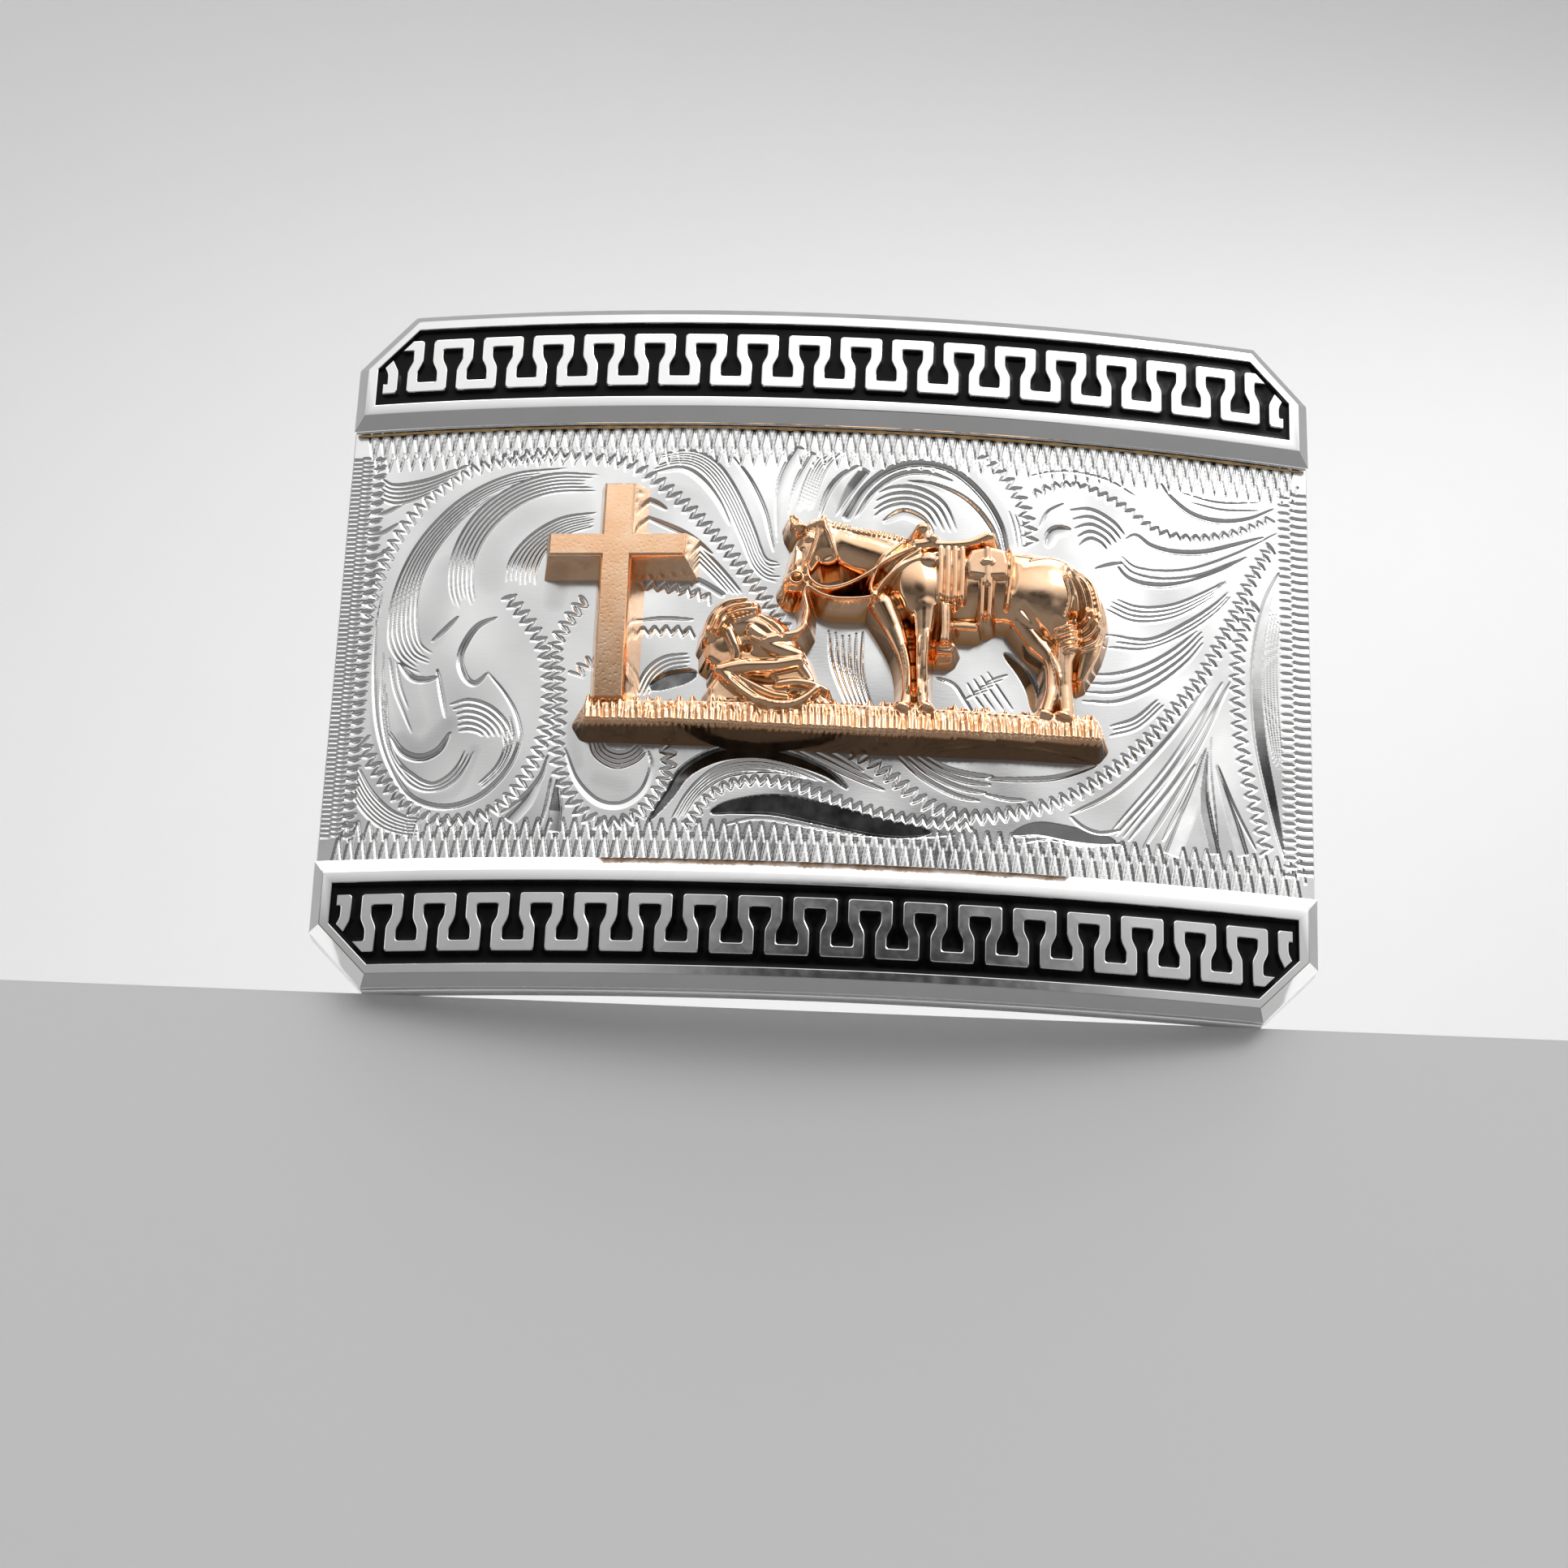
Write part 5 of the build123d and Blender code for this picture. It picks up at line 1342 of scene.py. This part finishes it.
def make_hook(silver):
    """The leaning hook peg in its pad."""
    mount = next(mount for mount in frame["record"]["mounts"] if mount["name"] == "hook_peg")
    axis = np.array(mount["axis"], float)
    axis /= np.linalg.norm(axis)
    middle = np.array(mount["pos_m"], float) / MM
    radius, half = mount["dims"]["r_mm"], mount["dims"]["length_mm"] / 2
    side = np.cross((0, 0, 1.0), axis)
    side /= np.linalg.norm(side)
    turn = np.stack([side, np.cross(axis, side), axis])
    seat = -half - HOOK_BRAZE_GAP
    tip = half + HOOK_TIP_CHAMFER
    peg = [(radius - 0.5, seat - 2.2), (radius - 0.5, seat - 0.3), (radius + 0.25, seat - 0.1),
           (radius + 0.08, seat + 0.12),
           (radius, seat + 0.35), (radius, tip - 0.9), (radius - 0.06, tip - 0.55),
           (radius - 0.22, tip - 0.25),
           (radius - 0.55, tip - 0.06), (radius - 1.0, tip), (0.4, tip + 0.02)]
    points, faces = revolve(peg, 56)
    faces = faces.tolist() + [list(range(56))[::-1], list(range(len(points) - 56, len(points)))]
    make_piece("hook_stud", MM * (points @ turn + middle), faces, silver, "back_silver", ["hook_peg"],
               sharp=50)
    pad = [(HOOK_PAD_RADIUS, seat - 5.0), (HOOK_PAD_RADIUS, seat - 0.4),
           (HOOK_PAD_RADIUS - 0.1, seat - 0.12),
           (HOOK_PAD_RADIUS - 0.4, seat), (radius + 0.3, seat), (radius + 0.2, seat - 0.2),
           (0.5, seat - 0.25)]
    points, faces = revolve(pad, 64)
    points = points @ turn + middle
    lowest = np.array([back_y(x) - 0.3 for x in points[:, 0]])
    below = points[:, 1] < lowest
    slide = (lowest - points[:, 1]) / axis[1]
    points[below] += slide[below, None] * axis
    faces = faces.tolist() + [list(range(64))[::-1], list(range(len(points) - 64, len(points)))]
    make_piece("hook_pad", MM * points, faces, silver, "back_silver", ["hook_base"], sharp=50)


def make_rivets():
    """Domed rivet heads on the plate's back, slightly flattened by the hammer."""
    brass = rivet_brass()
    back = PLATE_LEVEL - PLATE_THICKNESS
    profile = [(0.8, 2.0), (0.8, -0.02), (1.42, 0.0), (1.5, -0.08), (1.46, -0.2), (1.28, -0.36),
               (0.95, -0.46),
               (0.5, -0.5), (0.12, -0.5)]
    for name, places in RIVET_SPOTS.items():
        parts = []
        for arc, height in places:
            points, faces = revolve(profile, 40)
            points = points + 0.015 * np.sin(points[:, [1, 2, 0]] * 5.0 + arc)
            place = square_to_face(arc)
            shape = np.column_stack([points[:, 0], points[:, 1] + height, points[:, 2] + back])
            caps = [list(range(40)), list(range(len(points) - 40, len(points)))[::-1]]
            parts.append((place(shape), [face[::-1] for face in faces.tolist()] + caps))
        make_piece(name.replace("rivets", "rivet_heads"), *joined(parts), brass, "rivet_brass", [name],
                   sharp=50)


# ---------------------------------------------------------------- materials
PER_MM = 1000.0


class Shader:
    """A material with one Principled shader and short ways to feed it."""

    def __init__(self, name, **values):
        self.material = bpy.data.materials.new(name)
        self.material.use_nodes = True
        self.nodes = self.material.node_tree.nodes
        self.links = self.material.node_tree.links
        self.surface = self.nodes["Principled BSDF"]
        for socket, value in values.items():
            self.surface.inputs[socket.replace("_", " ")].default_value = value
        self.place = self.nodes.new("ShaderNodeTexCoord").outputs["Object"]
        self.bump = None

    def connect(self, source, target):
        """Feeds a socket from another socket, or sets its value."""
        if isinstance(source, bpy.types.NodeSocket):
            self.links.new(source, target)
        else:
            target.default_value = source

    def stretched(self, scale):
        """Texture place scaled differently along each axis."""
        node = self.nodes.new("ShaderNodeMapping")
        self.connect(self.place, node.inputs["Vector"])
        node.inputs["Scale"].default_value = scale
        return node.outputs["Vector"]

    def noise(self, per_mm, detail, stretch=None):
        """Cloudy noise with this many features to a millimetre."""
        node = self.nodes.new("ShaderNodeTexNoise")
        self.connect(self.stretched(stretch) if stretch else self.place, node.inputs["Vector"])
        node.inputs["Scale"].default_value = per_mm * PER_MM
        node.inputs["Detail"].default_value = detail
        return node.outputs["Fac"]

    def specks(self, per_mm):
        """Distance to scattered points."""
        node = self.nodes.new("ShaderNodeTexVoronoi")
        self.connect(self.place, node.inputs["Vector"])
        node.inputs["Scale"].default_value = per_mm * PER_MM
        return node.outputs["Distance"]

    def ranged(self, source, low, high, to_low, to_high):
        """Source, from low to high, turned into to_low to to_high and held there."""
        node = self.nodes.new("ShaderNodeMapRange")
        values = (source, low, high, to_low, to_high)
        for socket, value in zip(("Value", "From Min", "From Max", "To Min", "To Max"), values):
            self.connect(value, node.inputs[socket])
        return node.outputs["Result"]

    def mixed(self, share, first, second):
        """A colour between two colours."""
        node = self.nodes.new("ShaderNodeMix")
        node.data_type = "RGBA"
        self.connect(share, node.inputs["Factor"])
        for socket, colour in zip((node.inputs[6], node.inputs[7]), (first, second)):
            self.connect(colour if isinstance(colour, bpy.types.NodeSocket) else (*colour, 1), socket)
        return node.outputs[2]

    def clouds(self, per_mm, detail, first, second, reach=0.15):
        """A colour that drifts between two colours; a shorter reach has sharper edges."""
        return self.mixed(self.ranged(self.noise(per_mm, detail), 0.5 - reach, 0.5 + reach, 0, 1), first,
                          second)

    def painted_shade(self):
        """The painted shade stored on the mesh, from 0 on top to 1 deep down; from 1 to 2 it marks painted
        dark reflections on facets and the dark painted shade of the ground's front wall.
        """
        node = self.nodes.new("ShaderNodeAttribute")
        node.attribute_name = "painted_shade"
        return node.outputs["Fac"]

    def relief(self, height, strength, depth_mm):
        """Adds small relief to the surface."""
        node = self.nodes.new("ShaderNodeBump")
        node.inputs["Strength"].default_value = strength
        node.inputs["Distance"].default_value = depth_mm * MM
        self.connect(height, node.inputs["Height"])
        if self.bump is not None:
            self.connect(self.bump, node.inputs["Normal"])
        self.bump = node.outputs["Normal"]
        self.connect(self.bump, self.surface.inputs["Normal"])

    def colour(self, source):
        self.connect(source, self.surface.inputs["Base Color"])

    def roughness(self, source):
        self.connect(source, self.surface.inputs["Roughness"])

    def worn(self, per_mm, detail, low, high):
        """Roughness that drifts between two values."""
        self.roughness(self.ranged(self.noise(per_mm, detail), 0.3, 0.7, low, high))


def engraved_silver():
    """Bright-cut silver plate: clean flats with faint polishing lines, painted shade deep in the cuts, and
    painted dark reflections on some facets and soft patches.
    """
    metal = Shader("engraved_silver", Metallic=1.0)
    tint = metal.clouds(0.12, 4, (0.90, 0.90, 0.895), (0.96, 0.96, 0.955))
    depth = metal.painted_shade()
    # painted shade: grey in the cuts, darker the deeper the cut, and in the soft patches of painted dark
    # reflection
    toned = metal.mixed(metal.ranged(depth, 0.3, 1.0, 0.0, 0.9), tint, (0.36, 0.36, 0.36))
    clean = metal.mixed(metal.ranged(depth, 1.0, 1.01, 0.0, 1.0), toned, tint)
    # painted dark reflection: leaning facets marked from 1 to 2 turn near black, with a little noise at
    # their edges
    patchy = metal.ranged(metal.noise(0.7, 4), 0.35, 0.65, -0.06, 0.06)
    dull = metal.nodes.new("ShaderNodeMath")
    dull.operation = "ADD"
    metal.connect(metal.ranged(depth, 1.0, 2.0, -0.05, 1.0), dull.inputs[0])
    metal.connect(patchy, dull.inputs[1])
    held = metal.ranged(dull.outputs[0], 0.12, 1.0, 0.0, 1.0)
    metal.colour(metal.mixed(held, clean, (0.015, 0.016, 0.018)))
    metal.worn(0.3, 5, 0.09, 0.22)
    metal.relief(metal.noise(1.2, 3, (1, 1, 6)), 0.12, 0.010)
    metal.relief(metal.noise(9.0, 2, (1, 1, 0.25)), 0.10, 0.003)
    return metal.material


def polished_silver():
    """Mirror-polished silver of the bars, with hairline handling marks."""
    metal = Shader("polished_silver", Metallic=1.0)
    metal.colour(metal.clouds(0.15, 4, (0.91, 0.91, 0.905), (0.96, 0.96, 0.955)))
    metal.roughness(metal.ranged(metal.noise(0.8, 5), 0.35, 0.7, 0.06, 0.14))
    metal.relief(metal.noise(0.35, 3), 0.10, 0.02)
    metal.relief(metal.noise(6.0, 2, (0.15, 1, 1.6)), 0.06, 0.003)
    return metal.material


def black_enamel():
    """Glossy black enamel with the faint orange-peel of a fired surface."""
    enamel = Shader("black_enamel", Specular_IOR_Level=0.14)
    enamel.colour(enamel.clouds(0.6, 5, (0.001, 0.001, 0.001), (0.003, 0.003, 0.0035), 0.1))
    enamel.worn(1.5, 4, 0.07, 0.18)
    enamel.relief(enamel.noise(1.1, 3), 0.10, 0.012)
    return enamel.material


def gilt(name, roughness, grain):
    """Rose gold plating with painted shade: orange-brown in the hollows and dark brown on the ground's front
    wall.
    """
    metal = Shader(name, Metallic=1.0)
    tint = metal.clouds(0.35, 4, (0.91, 0.55, 0.33), (0.96, 0.65, 0.43))
    # painted shade: orange-brown in hollows and low parts, dark brown where the ground's front wall is
    # marked
    deep = metal.mixed(metal.ranged(metal.painted_shade(), 0.15, 0.85, 0, 1), tint, (0.66, 0.32, 0.12))
    metal.colour(metal.mixed(metal.ranged(metal.painted_shade(), 1.2, 2.0, 0, 1), deep, (0.22, 0.125, 0.07)))
    metal.worn(1.4, 5, *roughness)
    metal.relief(metal.noise(2.2, 4), grain, 0.03)
    return metal


def rose_gold():
    return gilt("rose_gold", (0.09, 0.20), 0.14).material


def rose_gold_satin():
    """The cross: the same plating over a sand-cast face that glitters in small flecks."""
    metal = gilt("rose_gold_satin", (0.13, 0.24), 0.15)
    metal.relief(metal.ranged(metal.specks(2.4), 0.0, 0.4, 0, 1), 0.22, 0.03)
    metal.relief(metal.noise(3.5, 4), 0.22, 0.03)
    return metal.material


def braze_brass():
    """Brass-coloured solder, a little dull."""
    metal = Shader("braze_brass", Metallic=1.0)
    metal.colour(metal.clouds(1.3, 4, (0.72, 0.46, 0.20), (0.88, 0.64, 0.34), 0.1))
    metal.worn(3, 4, 0.24, 0.45)
    metal.relief(metal.noise(2.5, 3), 0.4, 0.03)
    return metal.material


def rivet_brass():
    """Hammered brass rivets."""
    metal = Shader("rivet_brass", Metallic=1.0)
    metal.colour(metal.clouds(0.9, 4, (0.62, 0.42, 0.17), (0.82, 0.62, 0.32), 0.1))
    metal.worn(2, 4, 0.2, 0.42)
    metal.relief(metal.ranged(metal.specks(1.4), 0.0, 0.6, 0, 1), 0.3, 0.05)
    return metal.material


def back_silver():
    """Cast nickel silver of the back hardware, tumbled and slightly toned."""
    metal = Shader("back_silver", Metallic=1.0)
    metal.colour(metal.clouds(0.25, 5, (0.62, 0.61, 0.58), (0.78, 0.77, 0.74)))
    metal.worn(0.9, 5, 0.22, 0.42)
    metal.relief(metal.noise(2.8, 4), 0.2, 0.03)
    return metal.material


def steel_wire():
    """Drawn steel wire, with lines along it and patchy roughness."""
    metal = Shader("steel_wire", Metallic=1.0)
    metal.colour(metal.clouds(0.3, 5, (0.50, 0.51, 0.52), (0.68, 0.68, 0.68)))
    metal.roughness(metal.ranged(metal.noise(1.0, 5, (1, 1, 0.2)), 0.3, 0.7, 0.16, 0.34))
    metal.relief(metal.noise(5.0, 3, (1, 1, 0.04)), 0.25, 0.01)
    return metal.material


def stage_paper(name, tone):
    """Plain pale paper for the floor and the backdrop."""
    paper = Shader(name, Roughness=0.9)
    paper.colour(paper.mixed(paper.noise(0.02, 3), (tone * 0.985,) * 3, (tone,) * 3))
    return paper.material


# ---------------------------------------------------------------- stage, light and camera
SHELF_EDGE = 0.0006
LOWER_FLOOR = -0.165
STAGE_FRONT = -9.0
STAGE_SIDE = 9.0
BACKDROP = 1.4
CAMERA_PLACE = (-0.00238, -0.2594, -0.1031)
CAMERA_TILT, CAMERA_TURN, CAMERA_ROLL = -0.338, -0.003, 0.0396
CAMERA_LENS = 70.36


def stage_panel(name, corners, material):
    """A flat part of the stage."""
    mesh = bpy.data.meshes.new(name)
    mesh.from_pydata(corners, [], [(0, 1, 2, 3)])
    mesh.materials.append(material)
    panel = bpy.data.objects.new(name, mesh)
    bpy.context.scene.collection.objects.link(panel)


def make_stage():
    """A pale shelf that the buckle stands on, a dark grey floor lower in front of it as painted shade below
    the shelf's edge, and a wall far behind.
    """
    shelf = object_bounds()[0].z
    panels = (
        ("shelf_top", 0.85, (SHELF_EDGE, shelf), (BACKDROP, shelf)),
        ("shelf_front", 0.85, (SHELF_EDGE, LOWER_FLOOR), (SHELF_EDGE, shelf)),
        # the lower floor's dark grey is painted shade below the shelf's edge
        ("lower_floor", 0.22, (STAGE_FRONT, LOWER_FLOOR), (SHELF_EDGE, LOWER_FLOOR)),
        ("backdrop", 0.9, (BACKDROP, -1), (BACKDROP, 3)),
    )
    for name, tone, near, far in panels:
        corners = [(side, *end) for side, end in
                   ((-STAGE_SIDE, near), (STAGE_SIDE, near), (STAGE_SIDE, far), (-STAGE_SIDE, far))]
        stage_panel(name, corners, stage_paper(f"{name}_paper", tone))


def softbox(name, place, size, brightness, target=(0, 0, 0)):
    """A rectangular lamp of this brightness, aimed at a point."""
    lamp = bpy.data.lights.new(name, "AREA")
    lamp.shape = "RECTANGLE"
    lamp.size, lamp.size_y = size
    lamp.energy = brightness * math.pi * size[0] * size[1]
    holder = bpy.data.objects.new(name, lamp)
    bpy.context.scene.collection.objects.link(holder)
    holder.location = place
    aim = holder.location.copy()
    aim.x, aim.y, aim.z = (t - p for t, p in zip(target, place))
    holder.rotation_mode = "QUATERNION"
    holder.rotation_quaternion = aim.to_track_quat("-Z", "Y")


def room_light():
    """A pale room, its front bright above, dim near the horizon and dimmer where someone stands."""
    world = bpy.data.worlds.new("room")
    bpy.context.scene.world = world
    world.use_nodes = True
    nodes, links = world.node_tree.nodes, world.node_tree.links
    split = nodes.new("ShaderNodeSeparateXYZ")
    direction = nodes.new("ShaderNodeTexCoord").outputs["Generated"]
    links.new(direction, split.inputs["Vector"])

    def eased(axis, *limits):
        return eased_from(split.outputs[axis], *limits)

    def eased_from(source, low, high, to_low, to_high):
        node = nodes.new("ShaderNodeMapRange")
        node.interpolation_type = "SMOOTHSTEP"
        links.new(source, node.inputs["Value"])
        for socket, value in zip(("From Min", "From Max", "To Min", "To Max"), (low, high, to_low, to_high)):
            node.inputs[socket].default_value = value
        return node.outputs["Result"]

    def combined(operation, first, second):
        node = nodes.new("ShaderNodeMath")
        node.operation = operation
        links.new(first, node.inputs[0])
        links.new(second, node.inputs[1])
        return node.outputs[0]

    ahead = combined("MULTIPLY", eased("Z", 0.12, 0.56, 0.12, 1.3), eased("X", -0.7, 0.45, 0.78, 1.1))
    squeeze = nodes.new("ShaderNodeVectorMath")
    squeeze.operation = "MULTIPLY"
    links.new(direction, squeeze.inputs[0])
    squeeze.inputs[1].default_value = (0.35, 0, 1)
    gap = nodes.new("ShaderNodeVectorMath")
    gap.operation = "DISTANCE"
    links.new(squeeze.outputs["Vector"], gap.inputs[0])
    gap.inputs[1].default_value = (0.03, 0, 0.24)
    ahead = combined("MULTIPLY", ahead, eased_from(gap.outputs["Value"], 0.05, 0.13, 0.1, 1.0))
    beside = eased("X", -0.8, 0.7, 0.22, 0.95)
    mix = nodes.new("ShaderNodeMix")
    links.new(eased("Y", -0.72, -0.25, 0.0, 1.0), mix.inputs["Factor"])
    links.new(ahead, mix.inputs["A"])
    links.new(beside, mix.inputs["B"])
    links.new(mix.outputs["Result"], nodes["Background"].inputs["Strength"])
    nodes["Background"].inputs["Color"].default_value = (1, 1, 1, 1)


def make_light():
    """Soft boxes above, at the right and behind, in a pale room."""
    softbox("key_box", (0.42, -0.55, 0.55), (0.36, 0.30), 4.2)
    softbox("top_box", (0.0, 0.0, 0.85), (0.85, 0.75), 2.0)
    softbox("left_strip", (-0.75, -0.25, 0.10), (0.2, 0.7), 0.7)
    softbox("back_box", (0.1, 0.95, 0.75), (1.2, 0.4), 1.3, (0, 1.4, 0.2))
    room_light()


def make_camera():
    """Low in front and looking up, turned slightly about its line of sight."""
    cy, sy = math.cos(CAMERA_TURN), math.sin(CAMERA_TURN)
    cx, sx = math.cos(CAMERA_TILT), math.sin(CAMERA_TILT)
    cr, sr = math.cos(CAMERA_ROLL), math.sin(CAMERA_ROLL)
    turn = Matrix(((cy, -sy, 0), (sy, cy, 0), (0, 0, 1)))
    tilt = Matrix(((1, 0, 0), (0, cx, -sx), (0, sx, cx)))
    roll = Matrix(((cr, 0, sr), (0, 1, 0), (-sr, 0, cr)))
    right, ahead, up = roll @ tilt @ turn
    camera = bpy.data.cameras.new("camera")
    camera.lens = CAMERA_LENS
    camera.sensor_width = 36
    camera.clip_start = 0.005
    holder = bpy.data.objects.new("camera", camera)
    bpy.context.scene.collection.objects.link(holder)
    axes = Matrix((right, up, -ahead)).transposed().to_4x4()
    holder.matrix_world = Matrix.Translation(CAMERA_PLACE) @ axes
    bpy.context.scene.camera = holder


back_metal, brass_braze = back_silver(), braze_brass()
make_plate()
make_bars(brass_braze)
make_cross()
make_castings()
make_hinge(back_metal, brass_braze)
make_hook(back_metal)
make_rivets()
make_stage()
make_light()
make_camera()
bpy.context.scene.view_settings.view_transform = "Standard"
